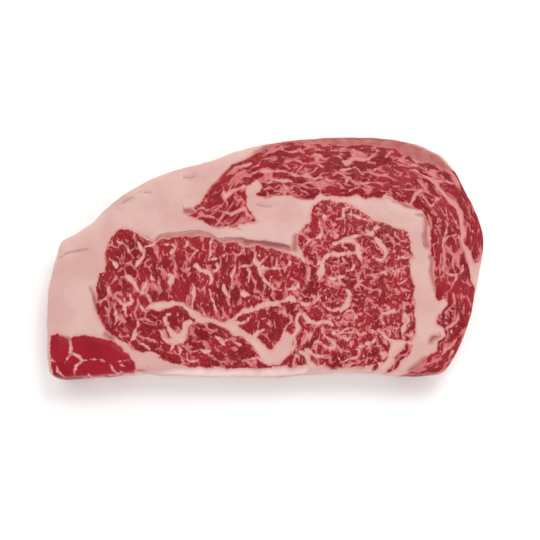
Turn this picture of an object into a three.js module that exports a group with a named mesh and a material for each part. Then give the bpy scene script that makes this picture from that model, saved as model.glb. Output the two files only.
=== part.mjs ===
// A raw, well marbled rib-eye beef steak, cut flat across the muscles and laid on its lower cut face.
// Millimetres, +Z up. The origin is the middle of the face it rests on, +X runs along the steak's long
// side, towards the rib cap's bend, and +Y runs from the straight boned-out side to the domed fat side.
// The meat is one closed solid: a knife-cut top with its muscles standing slightly proud of the soft
// fat between them, a rounded rim, a wall that bulges a little, and a flat underside.
import * as THREE from "three";

// Driving sizes
const LENGTH = 240;
const WIDTH = 135;
const THICKNESS = 22;

// The wall: how far it bulges past the rim, how high the bulge sits, and the rims' shapes
const WALL_BULGE = 0.9;
const BULGE_HEIGHT = 0.42 * THICKNESS;
const TOP_RIM_DROP = 0.8; // the top rim's height, as a share of its width
const FOOT_RIM = 2.6;

// The cut top: muscles stand proud of the fat, and the whole face sways a little
const MUSCLE_RISE = 0.8;
const MUSCLE_SHOULDER = 5;
const SWAY = 0.55;
const CAP_END_SAG = 1.6;
const CAP_END_START = 62;

// Mesh fineness
const CELLS_ALONG = 82;
const CELLS_ACROSS = 44;
const RIM_STEPS = 3;
const SAMPLES_PER_SIDE = 600;

// The outline seen from above, anticlockwise from the boned-out corner. Each point is X, Y and the width
// of the rounded top rim there: the soft fat rolls over widely, the lean corners turn more sharply.
const OUTLINE = [
  [-117.2, -65, 2.2],
  [-113, -68, 2.2],
  [-101, -68, 2.4],
  [-88, -67, 2.8],
  [-74, -65.5, 3.6],
  [-52, -66, 4.4],
  [-22, -66.8, 4.6],
  [8, -66.8, 4.4],
  [26, -65.2, 4],
  [48, -64.6, 3.6],
  [70, -66, 3.2],
  [87, -66.3, 2.8],
  [96, -64.5, 2.6],
  [102, -58, 2.8],
  [107, -48, 3],
  [111.7, -35, 3],
  [115.4, -20, 3],
  [118, -8, 3],
  [119.8, 2, 2.8],
  [120, 11, 2.8],
  [117.5, 20, 2.8],
  [113.5, 30, 3],
  [108, 42, 3.2],
  [102.5, 51, 3.6],
  [97.5, 56.5, 4],
  [89, 61, 4.2],
  [78, 64.6, 4],
  [62, 66.3, 3.6],
  [45, 67, 3.4],
  [22, 65.6, 3.2],
  [0, 63, 3.6],
  [-18, 58.2, 4.2],
  [-34, 52.6, 4.8],
  [-50, 48.6, 5.4],
  [-60, 45.2, 5.6],
  [-76, 36.8, 6],
  [-88, 27.4, 6],
  [-96, 18.8, 5.6],
  [-105, 12.6, 5],
  [-112.6, 7.4, 4.2],
  [-116, -2, 5],
  [-118.9, -16, 4.6],
  [-119.6, -34, 3.8],
  [-119.2, -52, 2.8],
];

// The outline's points where one side of the face ends and the next begins
const SIDE_CORNERS = { frontLeft: 0, frontRight: 12, backRight: 24, backLeft: 39 };

// The muscles that show on the cut, each as a closed outline
const MUSCLES = {
  eye: [
    [-79, 16], [-88, 8], [-92, -8], [-94, -24], [-86, -40], [-66, -53], [-40, -61], [10, -61], [42, -62],
    [64, -60], [70, -47], [81, -36], [81, -8], [78, 14], [60, 19], [48, 29], [30, 32], [20, 18], [8, 5],
    [-20, 11], [-45, 14], [-62, 8],
  ],
  ribCap: [
    [-42, 26], [-30, 41], [-16, 53], [16, 63], [60, 61], [84, 56], [103, 45], [114, 24], [118, 4],
    [113, -22], [107, -46], [96, -61], [78, -63], [93, -50], [96, -26], [91, -6], [91, 18], [76, 31],
    [40, 34], [0, 34], [-12, 22], [-26, 18],
  ],
  corner: [
    [-119, -44], [-104, -45], [-94, -43], [-80, -51], [-72, -61], [-84, -65], [-104, -67], [-118, -64],
  ],
};

// Soft grooves in the face: each runs along its path, with its depth and half its width
const GROOVES = [
  // The crease under the flap of fat at the shoulder
  { path: [[-118, 0.5], [-109, 3.5], [-101, 5]], depth: 1.1, halfWidth: 3 },
  // The long seam of fat across the eye, which opens towards the straight side
  { path: [[-63, -27], [-48, -27], [-36, -34], [-22, -37], [-8, -48], [4, -58]], depth: 0.4, halfWidth: 4 },
  // The branch that leaves it upwards
  { path: [[-22, -36], [-4, -27], [15, -21]], depth: 0.3, halfWidth: 3.5 },
  // The seam that splits the rib cap's bend in two
  { path: [[84, 51], [98, 41], [107, 27], [112, 9], [117, -7]], depth: 0.6, halfWidth: 4 },
];

const meat = new THREE.MeshStandardMaterial({ color: "#b5565b", roughness: 0.42, metalness: 0 });

// 0 below low, 1 above high, and a smooth rise between them.
function smoothStep(value, low, high) {
  const share = Math.min(1, Math.max(0, (value - low) / (high - low)));
  return share * share * (3 - 2 * share);
}

// How far a point is from the segment between two others.
function distanceToSegment(x, y, [ax, ay], [bx, by]) {
  const dx = bx - ax;
  const dy = by - ay;
  const along = Math.min(1, Math.max(0, ((x - ax) * dx + (y - ay) * dy) / (dx * dx + dy * dy)));
  return Math.hypot(x - ax - along * dx, y - ay - along * dy);
}

// How deep a point is inside a closed outline: positive inside, negative outside.
function depthInside(x, y, outline) {
  let nearest = Infinity;
  let inside = false;
  outline.forEach((a, i) => {
    const b = outline[(i + 1) % outline.length];
    nearest = Math.min(nearest, distanceToSegment(x, y, a, b));
    if (a[1] > y !== b[1] > y && x < a[0] + ((y - a[1]) * (b[0] - a[0])) / (b[1] - a[1])) {
      inside = !inside;
    }
  });
  return inside ? nearest : -nearest;
}

// How deep a groove is under a point.
function grooveDepth(x, y, { path, depth, halfWidth }) {
  const stretches = path.slice(1).map((point, i) => distanceToSegment(x, y, path[i], point));
  return depth * (1 - smoothStep(Math.min(...stretches), 0, halfWidth));
}

// The height of the cut top over a point.
function topHeight(x, y) {
  const deepest = Math.max(...Object.values(MUSCLES).map((outline) => depthInside(x, y, outline)));
  const muscle = MUSCLE_RISE * smoothStep(deepest, -1, MUSCLE_SHOULDER);
  const sway = SWAY * Math.sin(x / 31 + 0.6) * Math.cos(y / 24 - 0.4);
  const sag = CAP_END_SAG * smoothStep(x, CAP_END_START, LENGTH / 2);
  const grooves = GROOVES.reduce((sum, groove) => sum + grooveDepth(x, y, groove), 0);
  return THICKNESS - MUSCLE_RISE - sag + muscle + sway - grooves;
}

// The outline as evenly spaced samples, each side with its own count, with outward normals.
function sampleOutline() {
  const curve = new THREE.CatmullRomCurve3(
    OUTLINE.map(([x, y, rim]) => new THREE.Vector3(x, y, rim)),
    true,
    "centripetal",
  );
  const count = OUTLINE.length;
  const { frontLeft, frontRight, backRight, backLeft } = SIDE_CORNERS;
  const sides = [
    [frontLeft, frontRight, CELLS_ALONG],
    [frontRight, backRight, CELLS_ACROSS],
    [backRight, backLeft, CELLS_ALONG],
    [backLeft, frontLeft + count, CELLS_ACROSS],
  ];
  const samples = sides.flatMap(([start, end, cells]) => sampleSide(curve, start / count, end / count, cells));
  return samples.map((sample, i) => {
    const before = samples[(i + samples.length - 1) % samples.length];
    const after = samples[(i + 1) % samples.length];
    const outward = new THREE.Vector2(after.y - before.y, before.x - after.x).normalize();
    return { x: sample.x, y: sample.y, rim: sample.z, outward };
  });
}

// A stretch of the curve as equally long steps, without its last point.
function sampleSide(curve, start, end, cells) {
  const fine = [];
  for (let i = 0; i <= SAMPLES_PER_SIDE; i++) {
    fine.push(curve.getPoint((start + ((end - start) * i) / SAMPLES_PER_SIDE) % 1));
  }
  const travelled = [0];
  for (let i = 1; i < fine.length; i++) {
    const step = Math.hypot(fine[i].x - fine[i - 1].x, fine[i].y - fine[i - 1].y);
    travelled.push(travelled[i - 1] + step);
  }
  const total = travelled[travelled.length - 1];
  const samples = [];
  let i = 0;
  for (let cell = 0; cell < cells; cell++) {
    const target = (total * cell) / cells;
    while (travelled[i + 1] < target) {
      i++;
    }
    const share = (target - travelled[i]) / (travelled[i + 1] - travelled[i]);
    samples.push(fine[i].clone().lerp(fine[i + 1], share));
  }
  return samples;
}

// The wall from the top's edge down to the foot: inset from the outline and height, for one sample.
function wallProfile(sample) {
  const top = topHeight(
    sample.x - sample.outward.x * (sample.rim + WALL_BULGE),
    sample.y - sample.outward.y * (sample.rim + WALL_BULGE),
  );
  const profile = [];
  for (let step = 0; step <= RIM_STEPS; step++) {
    const turn = (step / RIM_STEPS) * (Math.PI / 2);
    profile.push({
      inset: WALL_BULGE + sample.rim * (1 - Math.sin(turn)),
      z: top - TOP_RIM_DROP * sample.rim * (1 - Math.cos(turn)),
    });
  }
  profile.push({ inset: 0, z: BULGE_HEIGHT });
  for (let step = RIM_STEPS - 1; step >= 0; step--) {
    const turn = (step / (RIM_STEPS - 1)) * (Math.PI / 2);
    profile.push({
      inset: WALL_BULGE + FOOT_RIM * (1 - Math.sin(turn)),
      z: FOOT_RIM * (1 - Math.cos(turn)),
    });
  }
  return profile;
}

// The inner points of a face, blended from its four sides: a Coons patch over the ring of its edge.
function fillFace(ring) {
  const at = (i) => ring[(i + ring.length) % ring.length];
  const front = (i) => at(i);
  const right = (j) => at(CELLS_ALONG + j);
  const back = (i) => at(2 * CELLS_ALONG + CELLS_ACROSS - i);
  const left = (j) => at(-j);
  const blend = (axis, i, j) => {
    const u = i / CELLS_ALONG;
    const v = j / CELLS_ACROSS;
    const sides =
      (1 - v) * front(i)[axis] + v * back(i)[axis] + (1 - u) * left(j)[axis] + u * right(j)[axis];
    const corners =
      (1 - u) * (1 - v) * front(0)[axis] +
      u * (1 - v) * front(CELLS_ALONG)[axis] +
      u * v * back(CELLS_ALONG)[axis] +
      (1 - u) * v * back(0)[axis];
    return sides - corners;
  };
  const inner = [];
  for (let j = 1; j < CELLS_ACROSS; j++) {
    for (let i = 1; i < CELLS_ALONG; i++) {
      inner.push([blend(0, i, j), blend(1, i, j)]);
    }
  }
  return inner;
}

// The whole steak as one closed surface: the top's grid, the wall's rings and the flat underside.
function steakGeometry() {
  const samples = sampleOutline();
  const profiles = samples.map(wallProfile);
  const around = samples.length;
  const rings = profiles[0].map((_, row) =>
    samples.map((sample, i) => {
      const { inset, z } = profiles[i][row];
      return [sample.x - sample.outward.x * inset, sample.y - sample.outward.y * inset, z];
    }),
  );
  const inner = fillFace(rings[0]).map(([x, y]) => [x, y, topHeight(x, y)]);
  const points = [...rings.flat(), ...inner];
  const faces = [];

  // The vertex at column i and row j of the top's grid, whose edge is the first ring.
  const innerStart = rings.length * around;
  const gridVertex = (i, j) => {
    if (j === 0) return i;
    if (i === CELLS_ALONG) return CELLS_ALONG + j;
    if (j === CELLS_ACROSS) return 2 * CELLS_ALONG + CELLS_ACROSS - i;
    if (i === 0) return around - j;
    return innerStart + (j - 1) * (CELLS_ALONG - 1) + (i - 1);
  };
  for (let j = 0; j < CELLS_ACROSS; j++) {
    for (let i = 0; i < CELLS_ALONG; i++) {
      const [a, b] = [gridVertex(i, j), gridVertex(i + 1, j)];
      const [c, d] = [gridVertex(i + 1, j + 1), gridVertex(i, j + 1)];
      faces.push([a, b, c], [a, c, d]);
    }
  }

  for (let row = 0; row < rings.length - 1; row++) {
    for (let i = 0; i < around; i++) {
      const next = (i + 1) % around;
      const [upper, upperNext] = [row * around + i, row * around + next];
      const [lower, lowerNext] = [upper + around, upperNext + around];
      faces.push([lower, lowerNext, upperNext], [lower, upperNext, upper]);
    }
  }

  const footStart = (rings.length - 1) * around;
  const foot = rings[rings.length - 1].map(([x, y]) => new THREE.Vector2(x, y));
  for (const [a, b, c] of THREE.ShapeUtils.triangulateShape(foot, [])) {
    faces.push([footStart + a, footStart + c, footStart + b]);
  }

  const geometry = new THREE.BufferGeometry();
  geometry.setAttribute("position", new THREE.Float32BufferAttribute(points.flat(), 3));
  geometry.setIndex(faces.flat());
  geometry.computeVertexNormals();
  return geometry;
}

// The geometry brought to its exact length and width, centred over the origin.
function fitted(geometry) {
  geometry.computeBoundingBox();
  const size = geometry.boundingBox.getSize(new THREE.Vector3());
  const middle = geometry.boundingBox.getCenter(new THREE.Vector3());
  geometry.translate(-middle.x, -middle.y, 0);
  geometry.scale(LENGTH / size.x, WIDTH / size.y, 1);
  return geometry;
}

const steak = new THREE.Mesh(fitted(steakGeometry()), meat);
steak.name = "steak";

const group = new THREE.Group();
group.add(steak);

export default group;
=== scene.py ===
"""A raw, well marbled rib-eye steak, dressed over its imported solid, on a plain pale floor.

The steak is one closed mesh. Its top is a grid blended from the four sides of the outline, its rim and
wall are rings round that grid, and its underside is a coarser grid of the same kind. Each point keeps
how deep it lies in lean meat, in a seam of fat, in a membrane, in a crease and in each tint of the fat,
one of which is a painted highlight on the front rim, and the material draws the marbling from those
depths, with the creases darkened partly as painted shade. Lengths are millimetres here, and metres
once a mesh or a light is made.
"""

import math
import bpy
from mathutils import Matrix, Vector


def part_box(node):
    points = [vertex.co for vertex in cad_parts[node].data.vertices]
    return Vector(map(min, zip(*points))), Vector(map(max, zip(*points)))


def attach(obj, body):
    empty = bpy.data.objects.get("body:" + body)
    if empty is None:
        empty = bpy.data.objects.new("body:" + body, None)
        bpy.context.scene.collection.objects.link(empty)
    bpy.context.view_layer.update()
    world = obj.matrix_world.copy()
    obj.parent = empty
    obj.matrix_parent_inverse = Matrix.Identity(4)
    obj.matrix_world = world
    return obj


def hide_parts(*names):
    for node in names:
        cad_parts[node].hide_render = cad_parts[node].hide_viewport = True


bl_info = {
    "name": "Raw rib-eye steak",
    "version": (1, 0, 0),
    "blender": (4, 5, 0),
    "location": "View3D > Sidebar > Steak",
    "description": "Builds a raw marbled rib-eye steak over its packed solid, and a pale studio for it",
    "category": "Object",
}

import bpy
import numpy as np
from mathutils import Vector

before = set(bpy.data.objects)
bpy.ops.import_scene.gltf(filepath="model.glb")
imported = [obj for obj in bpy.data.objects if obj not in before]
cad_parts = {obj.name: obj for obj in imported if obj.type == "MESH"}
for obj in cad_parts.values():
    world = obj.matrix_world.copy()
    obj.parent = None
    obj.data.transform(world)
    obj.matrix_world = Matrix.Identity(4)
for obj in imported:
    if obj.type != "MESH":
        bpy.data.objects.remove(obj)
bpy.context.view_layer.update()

MM = 0.001
SEED = 7

# The outline seen from above, anticlockwise from the boned-out corner: X, Y and the width of the
# rounded top rim there. The soft fat rolls over widely, the lean corners turn more sharply.
OUTLINE = [
    (-117.2, -65, 2.2), (-113, -68, 2.2), (-101, -68, 2.4), (-88, -67, 2.8), (-74, -65.5, 3.6),
    (-52, -66, 4.4), (-22, -66.8, 4.6), (8, -66.8, 4.4), (26, -65.2, 4), (48, -64.6, 3.6),
    (70, -66, 3.2), (87, -66.3, 2.8), (96, -64.5, 2.6), (102, -58, 2.8), (107, -48, 3),
    (111.7, -35, 3), (115.4, -20, 3), (118, -8, 3), (119.8, 2, 2.8), (120, 11, 2.8),
    (117.5, 20, 2.8), (113.5, 30, 3), (108, 42, 3.2), (102.5, 51, 3.6), (97.5, 56.5, 4),
    (89, 61, 4.2), (78, 64.6, 4), (62, 66.3, 3.6), (45, 67, 3.4), (22, 65.6, 3.2), (0, 63, 3.6),
    (-18, 58.2, 4.2), (-34, 52.6, 4.8), (-50, 48.6, 5.4), (-60, 45.2, 5.6), (-76, 36.8, 6),
    (-88, 27.4, 6), (-96, 18.8, 5.6), (-105, 12.6, 5), (-112.6, 7.4, 4.2), (-116, -2, 5),
    (-118.9, -16, 4.6), (-119.6, -34, 3.8), (-119.2, -52, 2.8),
]
FRONT_LEFT, FRONT_RIGHT, BACK_RIGHT, BACK_LEFT = 0, 12, 24, 39

# The wall, as in the solid: how far and how high it bulges, and the shapes of its rims
WALL_BULGE = 0.9
BULGE_SHARE = 0.42
TOP_RIM_DROP = 0.8
FOOT_RIM = 2.6

# The cut top, as in the solid: how far the muscles stand proud and between which depths in them, the
# sway of the face with its lengths and starts along X and Y, and the sag of the end over the cap
MUSCLE_RISE = 0.8
MUSCLE_SHOULDER = (-0.8, 3.5)
SWAY = 0.55
SWAY_LENGTHS = (31, 24)
SWAY_STARTS = (0.6, -0.4)
CAP_END_SAG = 1.6
CAP_END = (62, 120)

# How far seams and creases sink in, and between which depths in their strokes
SEAM_SINK = 0.35
SEAM_SHOULDER = (-0.8, 1.2)
CREASE_SINK = 0.6
CREASE_SHOULDER = (-1.4, 0.5)

# Soft lumps of the top and waves of the wall: the height, size and seed of each, how far the waves'
# pattern runs from the top of the wall to its foot, and the power of half a sine by which they fade
TOP_LUMPS = ((0.16, 7, 3), (0.1, 3, 4))
WALL_WAVES = ((0.35, 9, 5), (0.18, 3.5, 6))
WAVE_FALL = 24
WAVE_FADE = 0.7

# Mesh fineness: both counts are even, because the underside takes every second point
CELLS_ALONG = 340
CELLS_ACROSS = 188
TOP_RIM_ROWS = 6
WALL_ROWS = 5
FOOT_RIM_ROWS = 4
CURVE_STEPS = 80
STROKE_STEPS = 4

# Side of the square of random values that a noise repeats after
LATTICE = 64

# How far from a stroke its depth is still measured
REACH = 4.0

# How the pattern drifts from the top face to the underside, since muscles don't run straight down, the
# share by which it draws in, how far and over what length the drift wanders, and a wobble all over
DRIFT = (2.6, -0.6)
DRAWN_IN = 0.03
WANDER = 1.6
WANDER_SIZE = 16
WANDER_SEEDS = (1, 2)
WOBBLE = 0.8
WOBBLE_SIZE = 4.5
WOBBLE_SEEDS = (11, 12)

# A soft picture shows seams wider than they are, the thinnest most, and most of all in the cap
SEAM_SLIMMED = 0.92
SEAM_TRIM = 0.14
CAP_SEAM_TRIM = 0.36

# How far outside the cap and the corner muscle their own rules still hold
CAP_BORDER = 1
CORNER_BORDER = 2

# Membranes and tints lie in the cut face: below this depth they lose this much for each mm
FACE_DEPTH = 1.5
FACE_FADE = 0.35

# The viewpoint of the photograph. What is listed below was read along its lines of sight.
VIEW_ELEVATION = math.radians(81)
VIEW_DISTANCE = 705
VIEW_AIM = (1.9, -6.9, 11)

# The key light's side and place, and how far the floor lies below the steak, in metres
KEY_SIZE = 0.5
KEY_PLACE = (0.30, 0.56, 1.0)
FLOOR_DROP = 0.1 * MM

# The sines of the heights between which the sky dims, and the share of its light that is left above
SKY_FADE = (0.6, 0.9)
SKY_TOP = 0.2

# Outlines of the muscles as seen, clockwise or anticlockwise. Where one reaches the steak's edge, its
# outline runs on past it.
MUSCLES = {
    "eye": [
        (-78, 16.8), (-82.5, 14.5), (-85, 11), (-87.3, 7), (-88.8, 3), (-89.4, -3), (-89.4, -7.4),
        (-92.7, -8.2), (-93.3, -14), (-94.3, -21), (-95, -27), (-93.6, -31), (-91.5, -35), (-88.2, -40),
        (-84.5, -43.6), (-82, -45.8), (-78.5, -47.3), (-75, -49.6), (-72.8, -51.5), (-68.9, -52.1),
        (-65, -51.7), (-60, -53.5), (-59.7, -55.2), (-55.5, -56.5), (-51.6, -58.5), (-47.8, -59.4),
        (-42, -60.8), (-32, -60.6), (-24.7, -60.2), (-20.5, -61.5), (-8.2, -61), (-3.5, -61),
        (0, -61.6), (5, -60.6), (9.9, -60.2), (14.4, -60.4),
        (20.2, -59.4), (22.7, -59), (24.5, -55.4), (26, -57.2), (28.8, -59.1), (34.3, -60.1),
        (36.2, -61.3), (40, -60.6), (49.5, -60.8), (53.4, -61.9), (54, -60.3), (59.5, -59.7),
        (58.6, -61.5), (59.5, -63.3), (61.8, -60.8), (62.6, -58), (66, -57.4), (67.6, -55), (68, -52.5),
        (69.2, -46.2), (69.4, -44.4), (76, -45.4), (80.3, -46.6), (82, -42), (82.3, -36), (82, -25),
        (81.6, -15), (80, -8.7), (79.3, -1.6), (82.2, 0.4), (80, 4.5), (79.7, 9), (78, 13.8), (74.9, 15.4),
        (70, 16.5), (67.8, 18), (64.9, 19.2), (60.4, 19.6), (58.8, 21.2), (55.2, 24.4), (50, 26.3),
        (48.1, 27.6), (44.6, 30.2), (38.8, 30.5), (34, 32.4), (30.8, 32.1), (26.7, 28.9), (25.4, 25.4),
        (25, 20), (22.2, 18.3), (20.6, 15.8), (17.4, 12.5), (17.3, 8.6), (18.6, 6.7), (20, 3.8),
        (20.6, 0.5), (19.6, -0.4), (16, 0.8), (13.5, 2), (8, 3), (3, 5.2), (-3, 6.2), (-8, 5.6), (-13, 5.4),
        (-15.5, 7), (-17.5, 8.4), (-24.8, 8.6), (-27, 10.6), (-30, 10.8), (-40, 12), (-45, 12), (-50, 11),
        (-57, 11), (-60, 9.6), (-62.4, 7.8), (-66.5, 10.6), (-70, 13), (-74.6, 15.2),
    ],
    "cap": [
        (-42.5, 22.8), (-39.5, 25), (-40.6, 27.7), (-37, 29.6), (-35.1, 33.2), (-32, 36.4), (-29, 41.5),
        (-24, 46.6), (-20.4, 49.5), (-13.3, 53.7), (-4.4, 58.6), (3.2, 61.6), (9.6, 63.1), (19.2, 64.2),
        (32, 63.8), (40, 62), (44, 61.6), (47, 62.9), (54.6, 62.6), (63, 61.3), (67.4, 60.3), (71.3, 60.3),
        (75.4, 57.1), (79.6, 56.8), (82.5, 52), (85.4, 52.6), (89.9, 52.6), (97, 50.2), (100, 49.5),
        (107, 48), (111.5, 42), (116.5, 31), (120, 21), (123, 12), (123, 3), (119, -1.4), (115, -4),
        (113.9, -11.7), (115.6, -17.5), (116.5, -24), (114.6, -32), (112, -41), (109.4, -48.5),
        (105.6, -56), (100.5, -63), (95, -67.5), (78, -69), (79, -63.5), (84, -61.3), (88, -58.8),
        (89.5, -54.2), (95, -51.5), (96, -46.5), (99.3, -42), (98.5, -39.5), (95, -37.3), (95.7, -33),
        (98, -31), (100, -26), (99.3, -21.5), (96, -23.4), (94.5, -22.5), (94.3, -18), (93.7, -13),
        (94.5, -11), (92.8, -3), (91, 5), (91.7, 17), (88.5, 23), (87, 25.5), (84.4, 26.4),
        (80.6, 30.8), (77, 30.8), (71.6, 30.8),
        (69.6, 33), (66, 34.4), (62.3, 33), (54, 33), (50.5, 34.6), (45, 34.2), (33.7, 34.3), (30, 36),
        (27.6, 34.7), (25.6, 33), (17.9, 32.9), (14.7, 34.2), (4.8, 34.2), (0, 33), (-3.1, 33.4),
        (-5.8, 34.6), (-3.7, 36.6), (-2.6, 39), (-3.2, 42), (-5.3, 43.6), (-8.5, 42.3), (-10.8, 39.4),
        (-10.9, 34.8), (-11.4, 30.6), (-10.8, 27.1), (-8.5, 24.8), (-4.4, 19.4), (-10.1, 19.2), (-15, 19),
        (-16.6, 17.4), (-22.6, 17.4), (-29, 17.6), (-31.9, 19.1), (-36.4, 20.7),
    ],
    "corner": [
        (-119.5, -43.4), (-116.5, -42.2), (-114.7, -42.2), (-112.7, -44.6), (-110, -46), (-105, -44.3),
        (-97, -43.2), (-92, -43.8), (-88, -45.8), (-84.8, -46.5), (-82, -49), (-76, -53.3), (-74.8, -55.5),
        (-72.6, -58.5), (-71.9, -61.8), (-73.6, -64), (-80.5, -64.8), (-87.4, -66.5), (-91.5, -67.4),
        (-100, -72), (-116, -72), (-119.8, -60),
    ],
    "strip": [
        (78, -47.7), (81.3, -48.6), (79.2, -52), (77.2, -55), (75, -57), (74, -59.6), (70.7, -62.7),
        (67.5, -64.5), (67.3, -62.5), (71.8, -58.5), (71.8, -55.6), (74.5, -51.6), (77.2, -50),
    ],
}

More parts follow.
